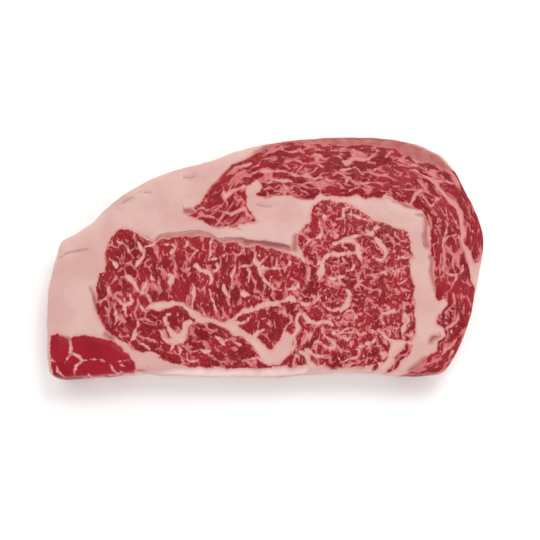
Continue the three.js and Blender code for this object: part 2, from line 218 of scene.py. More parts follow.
# Seams of fat in the muscles as seen: X, Y and the seam's width at each point
SEAMS = [
    # The long seam across the eye, which opens into a patch at the straight side
    [(-64, -27, 5), (-60, -27, 5.8), (-55, -26.2, 4.8), (-50, -25.4, 3.2), (-45.6, -27.4, 3.4),
     (-41.4, -30.4, 4), (-37.3, -33.6, 4.2), (-31.5, -34.8, 3.2), (-26.4, -37, 2.8), (-20, -37.6, 7),
     (-16.7, -40.6, 5.6), (-10.3, -44.8, 5), (-6.5, -47.4, 6.4), (-3, -51, 7), (1, -55, 8.6),
     (6, -54.4, 9.6), (9.6, -50.4, 10), (10.8, -46.6, 9), (11.6, -43, 5.6)],
    [(-5, -55, 2), (0, -57.6, 4), (5.4, -57.8, 5), (8, -57.6, 2)],
    [(-64, -25.4, 1.6), (-65.4, -20.5, 1)],
    [(12, -43.4, 2.4), (15.8, -42, 2.8), (16.7, -39.2, 2.4), (17.2, -36, 2.6), (17.4, -32.8, 3),
     (18.9, -31.4, 3), (21.5, -32.4, 3), (24, -34.7, 3.2), (26.6, -36.3, 3.2), (34.3, -36, 2.8),
     (36.8, -37.3, 1.4)],
    [(15.6, -44, 2), (15.9, -49, 2.2), (14.6, -51, 2)],
    [(-7.8, -45, 4), (-5.8, -42.4, 2.6), (-3.9, -40.5, 2.4), (-1.5, -40.2, 1.4)],
    [(-9.6, -56.4, 1.2), (-6.4, -55.6, 2.6), (-1, -57, 3)],
    # Its branch upwards to the right, to a fork
    [(-21, -35, 3.4), (-17.4, -33.3, 2.6), (-12.3, -29.6, 3), (-7, -28.4, 2.8), (-3.5, -27.2, 3.6),
     (3, -25.6, 3.2), (8, -24, 3), (13, -22.4, 3.2), (17.6, -24.8, 1.8), (21.2, -26.4, 2.6),
     (24.7, -25.8, 1.4)],
    [(12.4, -22.4, 2), (13.6, -19, 1.6), (13, -17.4, 2.4), (17, -16, 2.4), (16.3, -13.2, 1.8),
     (14.1, -12.2, 1)],
    [(-17.4, -35.5, 3), (-14.2, -36.8, 2.4), (-9.4, -33.6, 1.6), (-7.5, -32, 1)],
    # The blob below its left end, with its two arms and its spurs
    [(-53.1, -31.2, 1.4), (-55.3, -33.1, 2.2), (-56.4, -35, 3), (-54.4, -39.2, 3.4), (-51.6, -42.8, 5),
     (-48.2, -44.8, 8), (-45, -39.8, 3.8), (-45, -37, 3), (-42.4, -34.8, 2.6)],
    [(-59, -40.4, 1.4), (-57.4, -43.5, 2.2), (-54.4, -46.2, 3), (-51, -46.4, 4), (-52.8, -51.2, 1.4)],
    [(-46, -47, 2.6), (-43.6, -51, 1.6), (-43.9, -57, 1.4)],
    [(-48.2, -49.2, 1.8), (-47, -51.5, 1.2), (-48.2, -53.8, 1.6)],
    # The eye's left part
    [(-82.3, 9.4, 2), (-79.7, 7.8, 1.8), (-78, 5.3, 1.4), (-74.6, 1.4, 1.2)],
    [(-71.4, 9.1, 1.4), (-70.4, 6.2, 2.6), (-68.8, 4, 2.4), (-68.8, 1.1, 2.4), (-69.8, -1.5, 3),
     (-72.4, -4.6, 2.4)],
    [(-80.3, 1.4, 1.2), (-80.3, -1.2, 1.4), (-78, -4.7, 1.2)],
    [(-87, -1.5, 1.6), (-82.9, -5, 2.4)],
    [(-62.4, 7.4, 1.8), (-67.5, 5.9, 1)],
    [(-56.3, 7.5, 1.4), (-51.6, 7, 1.8), (-51.5, 4, 2.8), (-52.8, 1.4, 1.2)],
    [(-60.5, -6.9, 1.2), (-57.9, -6.6, 1.8), (-54.4, -9.5, 2), (-52.1, -10.4, 3), (-53, -14.8, 1.6),
     (-54.2, -22.8, 1)],
    [(-63.7, -7.2, 1.2), (-63.7, -10.1, 1.4), (-61.8, -12.6, 2.2)],
    [(-81, -11.4, 1), (-77.6, -10.4, 2.4), (-74.4, -13, 3.4), (-71.7, -18, 2.2), (-70, -20, 1.2)],
    [(-66.5, -10.6, 1.4), (-66.5, -14.2, 1.8), (-69, -19.3, 1.2)],
    [(-89.3, -16.1, 1.2), (-87.7, -18, 2), (-86, -20, 1.4)],
    [(-89.3, -22.2, 1.2), (-84.2, -27.8, 1.4), (-83.2, -31.2, 3), (-82.3, -33.7, 2.6), (-83.5, -37.4, 1)],
    [(-83.2, -22.5, 1.6), (-79, -25.4, 2.4), (-74.8, -24.2, 2.2), (-76.5, -20.6, 1.4)],
    [(-79, -25.4, 2.6), (-78.2, -29, 2.2), (-77.5, -32, 1.4)],
    [(-89.2, -28, 1.4), (-88, -33, 1.6)],
    [(-71, -25.7, 1.4), (-66.2, -30.5, 1.4)],
    [(-71, -35, 1.6), (-71, -37.7, 1.2), (-72.8, -41, 3.2), (-73, -43, 3.2), (-74.5, -46.2, 1.6)],
    [(-82, -43.8, 1.4), (-79.3, -44.2, 2.2), (-76.6, -43.5, 1.4)],
    [(-70, -47.3, 1), (-68.2, -47.3, 1.6), (-65, -50.4, 1)],
    # Its middle, where the veins stand upright
    [(-45, 10, 1.2), (-43.2, 8.2, 2.2), (-44.3, 6.9, 1.6), (-46, 4.6, 1.2)],
    [(-29.6, 10.7, 1.4), (-31.6, 6, 2.2), (-31.2, 2, 1.8), (-32, -3.2, 1.4)],
    [(-28.4, -3.6, 1.4), (-27.4, -5.6, 1.8), (-30, -8.4, 2.2)],
    [(-38.2, 4.3, 1), (-41.7, 0.8, 2), (-42.7, -1.2, 2.6), (-42.7, -3.9, 1.2)],
    [(-43.7, -6.6, 1.4), (-41.1, -5.6, 2), (-38.4, -4.2, 2.6), (-36, -6.6, 2.6), (-31.5, -9.5, 3),
     (-31.3, -14, 1.6)],
    [(-29.9, -1.2, 1), (-25, 0.8, 1.2), (-22.8, 0.8, 1)],
    [(-18.7, 2.7, 1), (-17.2, 0.9, 1.6), (-14.2, 2.7, 1.6), (-12.4, 4.8, 1.8)],
    [(-17.4, 0.1, 1.2), (-17.6, -3.4, 1.4), (-18.4, -7.2, 2.2), (-19, -10.1, 2), (-18.7, -16.4, 2)],
    [(-7.4, 4.3, 1.2), (-6.4, 2.4, 2.2), (-7, -1.8, 3.2), (-4.4, -4.4, 2.6), (-3, -9, 2.6), (-0.6, -13, 2),
     (4, -16.4, 1.6), (8, -17.4, 1.2)],
    [(-15.2, -5.6, 1.8), (-11.8, -5, 1.4), (-8.6, -4.7, 1.2)],
    [(-8.7, -8, 1.6), (-9.4, -10.8, 1.4), (-9.7, -13.3, 1.2)],
    [(-4.4, -3.8, 2), (0.4, 0.6, 1.2), (3, 2.6, 1)],
    [(-41.1, -15, 1), (-40.5, -19, 2.6), (-40.8, -24.6, 1.4), (-41.6, -27, 1.6)],
    [(-31.5, -16.9, 1), (-31.4, -21, 2.2), (-28.9, -25.3, 2.4), (-27.6, -30.4, 2.2), (-26.2, -33.4, 2)],
    [(-23.8, -15.6, 1.8), (-22.5, -19.8, 2.6), (-20.6, -22.2, 2)],
    [(-37.6, -26.5, 1), (-34.4, -31.4, 1.6)],
    [(-14.8, -17.6, 1.2), (-12.5, -19.8, 3.4), (-9.7, -21, 1.6), (-4.6, -22.7, 1.6), (1, -24.6, 1.4)],
    [(12.5, -0.1, 1.4), (13.3, -1.8, 2), (12, -4.6, 2), (8.6, -5.5, 1.6), (4.6, -6.4, 1.4), (-2, -5, 2)],
    [(5.5, -1, 1.2), (4.8, -6, 1.4)],
    # The wedges below the long seam
    [(-29.3, -44.2, 1.2), (-25.4, -45.2, 2.4), (-23.8, -47.7, 2.4)],
    [(-24, -46, 1.8), (-19.8, -45.1, 1.6), (-15.8, -48.5, 1)],
    [(-37.4, -51.5, 1.6), (-34.3, -52, 2.6), (-31.2, -52, 1.6)],
    [(-45.8, -57, 1), (-40.5, -57.6, 1.6), (-37.8, -56.5, 1.2)],
    [(13, -30.8, 1.2), (13.4, -33.8, 1.6), (12.2, -36.2, 1.4), (9.9, -38.6, 1.4), (9.7, -41, 1.8)],
    # The eye's upper right lobe
    [(16.2, 4.6, 3.6), (18.8, 1.6, 3.2), (21, -0.8, 2), (22.2, -5, 1.4), (23.2, -9, 2), (23.4, -13.8, 1.4)],
    [(18.6, 14, 1.6), (21.5, 11.5, 2.2), (22.7, 9.8, 2), (22, 7.6, 1.4)],
    [(22.7, 9.9, 1.4), (29.2, 11.2, 1.4), (30, 13.2, 1.6), (29.9, 16.7, 1.6), (28.4, 20, 1.2)],
    [(34.4, 29, 1.4), (35.6, 26.7, 2.4), (35, 25.6, 1.6)],
    [(31.6, 22.2, 2.4), (34, 22.2, 1.4), (37.2, 23.8, 1)],
    [(38.8, 21.2, 1.2), (40.6, 21.3, 2.2), (42.4, 23.6, 1.8), (42.8, 26.4, 1.8), (46.8, 28, 1.2)],
    [(43, 23.1, 1.6), (46.6, 23.6, 2.2), (52, 21.9, 1.8), (55.2, 20.7, 1.6)],
    # The curved seams round the lobes of its right part
    [(37.6, 7.4, 3.2), (40.6, 8.4, 2.6), (45.4, 9.6, 3.6), (48, 7.8, 3.2), (50.4, 4.6, 3.4), (51.2, 1, 2.8),
     (52.6, -2, 1.8)],
    [(45.4, 9.8, 2.4), (50, 11.6, 2.4), (54, 12.2, 2.2), (57.6, 13.2, 2.4), (60.2, 16.2, 2.2),
     (62.9, 17, 1.4)],
    [(50.6, 2.6, 2.6), (44.2, 1.9, 2.4), (38, 1.6, 3), (33.2, 1.6, 2.8), (31, -2.4, 2.8), (30.2, -5, 3.6),
     (30, -8.6, 4.2), (29.2, -11.8, 1.6)],
    [(28.2, -3.4, 2.8), (28.2, -0.2, 1.8), (26.6, 2.8, 1.8)],
    [(50.2, -3, 1.2), (48, -6, 2), (44.9, -7.1, 1.4), (43.3, -5.2, 1.2)],
    [(44.2, -7.6, 1.4), (43.2, -10, 1.6), (36.2, -11, 2.4), (33.4, -10.5, 1.2)],
    [(42.3, -17.4, 1), (45.4, -18.2, 2.4), (45.6, -23, 3.4), (45.2, -26, 4), (42.6, -28.4, 3.6),
     (41.3, -31.2, 1.6)],
    [(24.7, -20.6, 1.8), (26.6, -21.9, 2.2), (30.4, -23.8, 1.4), (33.6, -27.7, 1.4), (36.8, -29, 1.6),
     (41, -28.6, 2)],
    [(59.8, 10.9, 2), (61.7, 8.3, 3), (64.5, 6, 3), (65.9, 3, 2.8), (65, 0.2, 2.6), (62.6, -1.4, 3),
     (58.5, 0.3, 1.2)],
    [(66, 4.8, 2), (71.3, 2.6, 1.6)],
    [(73.3, 0.2, 1.4), (79.7, -0.2, 1.8)],
    [(56, -9.6, 1.8), (60, -9.4, 2.2), (64.8, -8.3, 1.8), (66, -9.6, 1)],
    [(71.6, -4.6, 1.2), (74.5, -6.7, 1.2), (76.6, -5.8, 1)],
    # The lobes below them
    [(31.1, -37.8, 1.8), (31.2, -41, 1.4), (34.4, -44, 2), (36.6, -46.8, 3.2), (37.6, -49.4, 3.4),
     (34.6, -50.2, 2), (32, -48.6, 2.4), (28.5, -46.3, 1.4), (26, -48, 2), (26.8, -49.5, 1.4)],
    [(34.2, -34.4, 1.2), (36.8, -33.1, 1.4), (40, -32.5, 1)],
    [(35.6, -41.2, 1.4), (40.6, -42, 2.2), (42.6, -40, 1.8), (48.1, -39.2, 1.4), (51.3, -41.8, 1.2)],
    [(21.8, -51, 2), (24, -52.2, 3), (30.4, -54.6, 2.2), (35.2, -56.9, 1.2)],
    [(18.4, -52.6, 2), (22.6, -54.4, 3.4), (23.8, -58, 3.6)],
    [(14.6, -52.6, 1), (17.4, -55.4, 1.4), (17.9, -57, 1.4)],
    [(42.3, -56.9, 1.2), (46, -56.8, 2.2), (50.4, -54.6, 2), (51.6, -50.8, 2.2), (53.2, -46.6, 1.2)],
    [(42.2, -44, 0.8), (45.5, -46, 1.6), (46.8, -43.7, 1.2)],
    [(42.6, -33.8, 1.4), (43.6, -31.9, 1.2), (46.2, -30.2, 1.8), (49.8, -29.4, 1.2)],
    [(51.2, -49.4, 2), (55, -48, 2.2), (58.6, -47, 2.4), (60.4, -43.5, 1.6), (58.6, -40, 1.8)],
    [(63.2, -30.2, 1.4), (66, -30.4, 2.2), (70.4, -29.2, 2.2)],
    [(62.6, -31.2, 1.2), (64.4, -36.5, 2)],
    [(72, -36.2, 0.8), (73.4, -39.6, 1.2), (65.7, -39, 1.2)],
    [(44.9, -61, 1.4), (53, -61, 2)],
    [(62.6, -40.4, 1.2), (64.7, -42.6, 2.4), (68, -45, 2.4), (71.5, -46.2, 4)],
    [(76.4, -31.6, 2), (77.8, -34.6, 2.2), (76.4, -39, 2.8), (75.8, -43, 1.8), (78, -46, 2.4)],
    # The beak of the cap
    [(-25.6, 42.2, 1.4), (-24, 38.6, 2), (-22.6, 34.8, 4.6), (-18.8, 36.4, 3.6), (-15.2, 37.6, 1.6),
     (-12, 39, 2.2)],
    [(-22.4, 33, 2.6), (-21.4, 28.8, 1.2)],
    [(-26.6, 25.3, 1.6), (-21.5, 24.2, 2.8), (-16.4, 25.4, 3.6), (-13, 26.8, 3.2), (-10.6, 23.8, 2.6),
     (-7.8, 22, 1.4)],
    [(-39.5, 26.6, 1), (-34, 27, 1.2), (-29, 26.6, 1.8), (-25, 27.8, 1.2)],
    [(-37.4, 23.8, 0.8), (-31.6, 23.8, 1), (-27, 20.4, 1.4), (-23.6, 18.1, 1.6)],
    [(-20.7, 46.9, 1), (-13, 50.6, 1.4), (-8.6, 52, 2.8)],
    [(-19, 43.9, 0.8), (-15.6, 46.3, 1.4), (-11.7, 45.7, 1.2), (-6.6, 47.3, 1.4), (-1, 48.4, 3.4),
     (2.4, 48.2, 3.4), (6.4, 48, 2), (10.6, 47.2, 1.6), (14.2, 46, 2.4), (20.5, 45.8, 2.8),
     (25.4, 47.4, 1.8), (28.2, 49.7, 1.2)],
    [(-18, 39.2, 1), (-13.7, 43.1, 1), (-10.5, 43.4, 0.8)],
    [(-5, 56.2, 1), (0.4, 56.6, 1.2), (2, 59.2, 1.2)],
    # The top of the cap
    [(0.6, 54.4, 1.4), (2.4, 53, 1), (5.4, 55.2, 1)],
    [(8, 60.6, 1), (12.8, 58.7, 1.4), (17.3, 60, 1.2), (18.9, 62.2, 1)],
    [(18.9, 60.3, 1.6), (21.8, 56.8, 1.4), (24.8, 56.3, 2), (27.4, 57, 2.8), (30, 56.6, 2.2),
     (33, 55.4, 1.4), (40.4, 55.4, 1.8), (42.4, 53.4, 2.4), (45.6, 52.8, 4), (48, 54.6, 3.4),
     (51.6, 54.6, 2.8), (57.8, 55.6, 1.6), (59.6, 57, 1.8), (61.2, 59, 1.2)],
    [(20.8, 60.3, 1), (25.6, 62.8, 1.2), (28.2, 62.6, 1)],
    [(35.6, 62.2, 1), (36.2, 60, 1.2), (41.3, 60, 1.2), (44.4, 60, 1.2), (47.4, 57.2, 1.6),
     (48.4, 54.6, 2)],
    [(16, 53.9, 1.6), (19.6, 51.6, 2), (17.9, 48.8, 1.6), (16.6, 46.6, 2.2)],
    [(4.8, 50.7, 1), (10.4, 51, 1.6), (13.1, 48.8, 1.2)],
    [(19.6, 51.8, 1.8), (24.4, 51.3, 1.4), (27.2, 52, 1.4), (32, 50.4, 1.4)],
    [(20.5, 44.7, 2.2), (26.4, 43.8, 2.2), (32.4, 46.6, 1.8), (37.8, 46.8, 1.6), (43.3, 48.8, 2),
     (50, 49.4, 1.6), (52.8, 46.6, 2), (54.6, 47.6, 1.2)],
    [(65.4, 55.3, 1.4), (66.8, 57.1, 1.6), (69.6, 58.8, 1)],
    [(73.8, 55.2, 1.6), (74.8, 53.3, 1.4), (78.7, 51, 1.6), (83.2, 50.8, 1.8)],
    [(59.6, 48.8, 1.6), (64.9, 50.7, 1.4), (69, 50.2, 1)],
    # The gap over its lower island, and the gaps between the islands
    [(-4, 42.5, 1.6), (0, 42, 2), (4.2, 43.2, 2), (9, 42.3, 3), (13.5, 42.2, 2.6), (16.6, 41, 1.4),
     (20.4, 40.3, 1.4)],
    [(9, 40, 1.6), (10.9, 39, 2.4), (11.4, 36.8, 1.6)],
    [(14.6, 41, 1.4), (14.5, 36, 1.8)],
    [(4.2, 37.4, 1.4), (9.6, 36.4, 1.8), (15.4, 36, 1.6)],
    [(17.9, 39.6, 0.8), (19.2, 37.2, 1.2), (22.4, 36, 1.2)],
    [(29.6, 39.4, 2), (30.3, 36, 2.8)],
    [(32, 42.7, 1.4), (34.4, 42.6, 2), (38.5, 42.6, 1.2)],
    [(46.2, 44.4, 1.6), (44, 41.4, 2.2), (41.3, 38.2, 1.4)],
    [(48, 42, 1.8), (49.8, 40.6, 2.4), (53.6, 41.4, 2.2), (59, 42.2, 1.6), (65.5, 40.8, 1.8),
     (70, 39.5, 1.4), (77, 39.4, 1)],
    [(51, 39, 1.6), (46.9, 37.2, 1.2), (45, 36.3, 1.4)],
    [(68.7, 38.4, 1.2), (66.8, 36, 1.8), (65.8, 33.8, 2.6)],
    [(71.3, 49, 1.2), (74.8, 47.3, 1.4), (81.9, 48, 2.2), (86, 46.2, 2.6), (90, 44.4, 2.8), (93, 41.8, 2.8),
     (98, 36.2, 3.6), (102.4, 31.6, 3.8), (106, 27.2, 3.6), (108.6, 21.8, 3.8), (109.6, 14, 3.6),
     (109.8, 7.6, 4), (112, 2.4, 5), (114.4, -2.8, 6.4), (116.4, -8, 6)],
    [(77, 38.5, 1.2), (82.2, 37.2, 1.4)],
    [(81, 31, 2.4), (82, 34.6, 2.8), (85, 36.6, 2.8), (90.6, 37.2, 1.4)],
    [(86.4, 34.8, 2), (89.4, 31, 1.6), (92, 28.9, 2.6), (94.6, 32, 2.2), (97.4, 32.4, 2)],
    [(93.9, 42.4, 1.8), (98, 42.1, 1.8), (103.8, 41.2, 1.4)],
    # Its long right side
    [(100.8, 23.7, 0.8), (101, 19.6, 1.4), (99.6, 15.6, 1.4), (99.2, 9, 2.4), (98.6, 7.2, 3), (99.2, 2, 2),
     (98.8, -3, 2), (98.6, -7, 2), (102.4, -9, 2), (106, -8.8, 2.4), (109.4, -5.6, 2.2)],
    [(93.8, 18.3, 1), (95.3, 15.4, 1.4), (97, 12.2, 1.4), (98.6, 8.4, 2)],
    [(100.2, 9.2, 2), (102, 11.5, 1.6), (106.5, 13, 1.2)],
    [(105.4, -9, 1.8), (105, -11.6, 2), (103, -15.4, 1.2), (100, -18.6, 1.8), (98, -21.6, 2)],
    [(92.4, 0.5, 1.2), (93.2, -5, 1.6), (94, -9, 1.4)],
    [(106.8, 3.9, 1), (107.4, 0, 1.6), (105.6, -4, 1.2)],
    [(104, -20, 1.4), (103.6, -24.4, 1.6), (100.4, -31.6, 2), (99.4, -35, 1.8)],
    [(107, -30.7, 1.6), (105.7, -34, 1.4), (103, -37.4, 3), (100.4, -39.8, 1.4)],
    [(106.7, -42.7, 1.4), (105.3, -46, 1.6), (102.7, -49, 1.2), (98.7, -51.3, 1.8), (94, -54.3, 1)],
    [(104.2, -52, 2.4), (101.4, -56, 1.4)],
    [(81, -62.4, 1), (84.8, -62.6, 1), (89, -61.3, 1.6)],
    # The corner muscle
    [(-112, -44, 2), (-109.2, -46, 2.4), (-108.2, -50, 2.4), (-108.4, -53, 1.8), (-105.4, -53.9, 1.4),
     (-102.6, -55.3, 1.8), (-101.7, -57.2, 2), (-104.7, -58.8, 1.4), (-105.4, -61, 1.6),
     (-105.4, -64.3, 1.2)],
    [(-108.5, -52.9, 1.4), (-111.3, -57.4, 1.4)],
    [(-115.4, -59.8, 1), (-115, -62, 1.7), (-112, -65.7, 0.8)],
    [(-101, -56.5, 0.7), (-93.2, -56.7, 0.9), (-84.3, -57.3, 0.8), (-76, -56.4, 0.7)],
    [(-90.5, -64.8, 1), (-92.5, -67.5, 2.4)],
    [(-98, -65, 0.8), (-97, -67.5, 2)],
    [(-119, -57, 2.6), (-116.4, -58, 0.8)],
    [(-104, -66, 0.6), (-96, -66.4, 1), (-88, -65.4, 1.2), (-80, -63.8, 1)],
    [(-86.5, -58.3, 0.8), (-84.9, -61.7, 1.2), (-83.2, -63.3, 0.9)],
    [(-80.5, -58.8, 0.7), (-78.1, -60.6, 1.6), (-75.8, -62.2, 0.8)],
]

# Thin brown membranes along the muscles' edges, and a darker line along the far rim, as seen: X, Y and
# width
MEMBRANES = [
    [(-71, 15, 0.5), (-66.5, 12.6, 0.6), (-62.2, 9.8, 0.6), (-58.5, 13, 0.5), (-50, 13.6, 0.5),
     (-45, 14.4, 0.6), (-38, 14.4, 0.6), (-30, 12.8, 0.6), (-25, 11, 0.6), (-20, 11.3, 0.8), (-15, 10.2, 1),
     (-11, 9.4, 1.2), (-5, 9, 1.6), (3, 8, 1.9), (8, 7, 2.1), (13, 6.6, 1.6)],
    # A darker line along the far rim, drawn in the membrane colour over the rim and upper wall
    [(34, 67.2, 0.9), (48, 66.8, 1.2), (62, 66.1, 1.3), (74, 65, 1.3), (82, 63.4, 1.3), (90, 60, 1.3),
    (98.6, 54.8, 1.3), (103.2, 48.8, 1.3), (108.4, 40.8, 1.3), (113, 31, 1.2), (116, 24.2, 0.9)],
    [(-97, -18, 0.5), (-96, -23, 1), (-94, -29, 0.5)],
    [(87.2, 14.8, 0.4), (87, 11.4, 0.5), (88.3, 6.4, 0.7)],
    [(91.2, 2, 0.4), (91.3, -2, 0.6), (92.2, -7.6, 0.6), (94, -11, 0.4)],
    [(92, -45.6, 0.3), (93, -44.6, 0.8), (95, -43.4, 0.6)],
    [(96, -41.6, 0.6), (96.4, -43, 0.6)],
    [(-46.5, 30, 0.4), (-46, 28, 0.8), (-44, 25.6, 0.6)],
    [(55.6, 24.4, 0.5), (58.9, 20.6, 0.5), (65, 19.4, 0.5), (70, 16.9, 0.6), (75, 15.3, 0.5)],
    [(13.8, -51.4, 0.6), (18.6, -54.6, 0.8), (22.6, -59, 0.8)],
    [(15.2, -45.6, 0.8), (15, -48.8, 0.8)],
    [(14.7, 33.6, 0.6), (18, 32.8, 0.8), (25.6, 33, 0.8)],
    [(62, 32.6, 0.4), (68, 32, 0.6), (71, 29.8, 0.7), (77, 29.6, 0.6), (84, 26.4, 0.5)],
    [(-31, 18.6, 0.5), (-28, 17, 0.6), (-23, 16.8, 0.6)],
    [(-16.8, 17, 0.5), (-13, 15.4, 0.5)],
    [(-9, 18.6, 0.5), (-6, 18, 0.5)],
    [(-33, 36, 0.5), (-29.6, 41, 0.5), (-24.6, 46.6, 0.5), (-17.6, 51.8, 0.6), (-10, 55.4, 0.5)],
    [(59, -61.6, 1), (60.6, -61.8, 1)],
    [(21, -63, 0.6), (25, -63.4, 0.7)],
    [(-66, -59.8, 0.4), (-65, -61.4, 0.5)],
    [(-60, -61.6, 0.4), (-57, -64, 0.5)],
]

# Faint creases in the fat as seen: X, Y and width. The material darkens them with the membrane colour:
# partly their thin brown line, partly painted shade in the fold.
CREASES = [
    [(-115, 1, 1.2), (-112, 1.9, 1), (-107, 3.2, 0.7), (-99, 4.6, 0.2)],
    [(-71, 36.5, 0.8), (-64, 36, 0.6)],
    [(-46, 45, 0.8), (-42, 45, 0.8), (-40, 46, 0.5)],
    [(-80, 30, 0.6), (-74, 33, 1)],
    [(82.5, 23.5, 0.8), (86.5, 23.4, 1.6)],
    [(-5, 29, 0.5), (3, 28.6, 0.6)],
]

# Where the fat is flushed with blood, where a painted highlight lightens it along the straight side, and
# where it is stained brown, as seen: X, Y and width
FLUSHED = [
    [(-6, 58.6, 1.4), (6, 63.4, 2.4), (20, 65.6, 4), (32, 65.6, 5.6), (42, 65, 6.6), (52, 64.8, 7),
     (62, 63.6, 7.4), (70, 62.6, 7.4), (78, 60, 8), (86, 57, 8), (94, 53.6, 6), (100, 50, 4)],
    [(79, -62, 0.8), (83, -60, 2), (86.4, -57.6, 2.4), (88.4, -55, 0.8)],
    [(90, -62, 2), (97, -60, 4), (102, -56, 3)],
    [(-71, -63.4, 0.8), (-68.6, -64.2, 2.2), (-66.2, -64.2, 1)],
    [(-97, -17, 0.2), (-96, -22, 0.8), (-94, -28, 0.4)],
    [(-113, -45, 1), (-110, -46, 1.4)],
    [(15.6, 12, 1), (15.8, 5, 1.6)],
    [(-89, -42, 1.4), (-86, -44.4, 2)],
    [(-44, 26, 3), (-40, 24, 2)],
    [(-62, 10, 0.2), (-58, 12, 0.5), (-50, 12.6, 0.5), (-38, 13.2, 0.5), (-30, 11.8, 0.5), (-25, 10, 0.4),
     (-18, 10, 1), (-11, 8.2, 2.4), (-5, 8.2, 2), (3, 7.2, 2), (8, 6, 2.4), (13, 5.4, 2.4)],
    [(88.6, 27, 0.4), (88.9, 20, 1.4), (88.5, 12, 1.6), (89.6, 6, 1)],
    [(91, 1, 1), (91.8, -6, 1.2), (93, -13, 1.2), (94, -19, 0.8)],
    [(91, -46.4, 0.6), (92.6, -44.8, 1.8), (95, -43.6, 1.2)],
    [(74.5, 30.3, 0.4), (80.3, 28.6, 1), (84, 27.2, 0.4)],
]
# The pale tint is a painted highlight that lightens the rolled front rim along the straight side
PAINTED_HIGHLIGHT = [
    [(-63, -64.6, 2), (-52, -64.8, 4.2), (-36, -65.2, 5), (-20, -65.6, 5), (-4, -65.6, 4.4),
     (8, -64.8, 3.6), (22, -63.4, 2.4)],
]
STAINED = [
    [(-84, 31, 1.6), (-80, 33, 3), (-74, 32, 1.4)],
    [(38, -62.4, 1.4), (43, -62.8, 1)],
]

# Each tint's strokes, the share of it that shows in their middle, and the depths between which it comes
# The pale tint is a painted highlight on the front rim, not a colour of the fat
TINTS = {"flushed": (FLUSHED, 0.95), "pale": (PAINTED_HIGHLIGHT, 0.9), "stained": (STAINED, 0.8)}
TINT_EDGE = (-2.0, 1.0)

# The line that the cap's fibres follow round the bend, as seen
CAP_GRAIN = [
    (-44, 22), (-30, 28), (-15, 42), (5, 50), (30, 50), (55, 48), (75, 44), (90, 36), (100, 22),
    (104, 5), (105, -15), (104, -35), (98, -50), (85, -64),
]

# The line on the top face below which the eye's wedges lie, and how far their fibres turn
WEDGE_LINE = [(-95, -52), (-84, -46), (-72, -37), (-64, -27), (-44, -29), (-24, -36), (8, -58)]
WEDGE_TURN = math.radians(-27)

# How many times longer than wide the islands of lean are: in the eye from its left to its right, in its
# wedges and in the cap
EYE_SLENDER_LEFT = 1.7
EYE_SLENDER_RIGHT = 1.1
EYE_SLENDER_CHANGE = (5, 35)
WEDGE_SLENDER = 1.6
CAP_SLENDER = 2.4

# How the eye's fibres tilt, how fast the pattern changes downwards, and a start that keeps the cap's
# pattern clear of the eye's
EYE_TILT = 0.12
GRAIN_DOWN = 0.3
CAP_PATTERN_START = 400

# How strongly each muscle is marbled. The eye's right part has all of it.
EYE_MARBLING_LEFT = 0.85
EYE_MARBLING_CHANGE = (5, 30)
CAP_MARBLING = 0.88
CORNER_MARBLING = 0.12

# The veins, in mm: how they bend over what size, how large the patches are in which they come and go,
# and the noise between whose values they grow from broken off, by this much, to full width
VEIN_BENDS = ((7.0, 2.4), (2.2, 1.0))
VEIN_PATCHES = 6.0
VEIN_COMING = (0.38, 0.64)
VEIN_BROKEN = -0.5

# The finer veins' spacing and width as shares of the main ones', and the flecks: their size and the
# noise above which they show. A fleck gets this much deeper, in sizes, for each unit of noise, and loses
# this many mm where there is no marbling.
VEIN_LAYERS = ((1.0, 1.0), (0.5, 0.6))
FLECKS = ((1.7, 0.69), (0.9, 0.72))
FLECK_SLOPE = 6
FLECK_LOSS = 3.0

# How far the edges of muscles, seams and veins are ragged, in mm for each unit of noise
MUSCLE_RAGGED = 2.4
SEAM_RAGGED = 4.4
VEIN_RAGGED = 0.9

# How thin a vein's pink edge is, how softly it runs into broad fat, and how mottled well marbled lean is
VEIN_EDGE = 0.1
FAT_BLEND = 0.5
MOTTLING = 0.42

# The Mix node's sockets for a share, for the two colours and for what comes of them, and what makes a
# Map Range node follow a smooth S
SHARE, UNDER, OVER, MIXED = 0, 6, 7, 2
SMOOTH = {"interpolation_type": "SMOOTHSTEP"}


def linear(hex_colour):
    """The linear RGBA of a hex colour in sRGB."""
    channels = np.array([int(hex_colour[i : i + 2], 16) for i in (1, 3, 5)]) / 255
    curved = ((channels + 0.055) / 1.055) ** 2.4
    return (*np.where(channels <= 0.04045, channels / 12.92, curved), 1.0)


def rise(value, low, high):
    """0 below low, 1 above high and a smooth S between, by 3t squared less 2t cubed."""
    share = np.clip((value - low) / (high - low), 0, 1)
    return share * share * (3 - 2 * share)


def soft_noise(points, size, seed):
    """Smooth random values from -1 to 1: a random lattice of the given spacing, blended by smooth steps."""
    lattice = np.random.default_rng(SEED + seed).uniform(-1, 1, (LATTICE, LATTICE))
    cell = np.floor(points / size).astype(int)
    across, up = rise(points / size - cell, 0, 1).T
    (left, low), (right, high) = (cell % LATTICE).T, ((cell + 1) % LATTICE).T
    lower = lattice[left, low] * (1 - across) + lattice[right, low] * across
    upper = lattice[left, high] * (1 - across) + lattice[right, high] * across
    return lower * (1 - up) + upper * up


def layered_noise(points, layers):
    """The sum of soft noises, each with a height, a size and a seed."""
    return sum(height * soft_noise(points, size, seed) for height, size, seed in layers)


def noise_pair(points, size, seeds):
    """Two soft noises side by side, for moving points in plan."""
    return np.column_stack([soft_noise(points, size, seed) for seed in seeds])


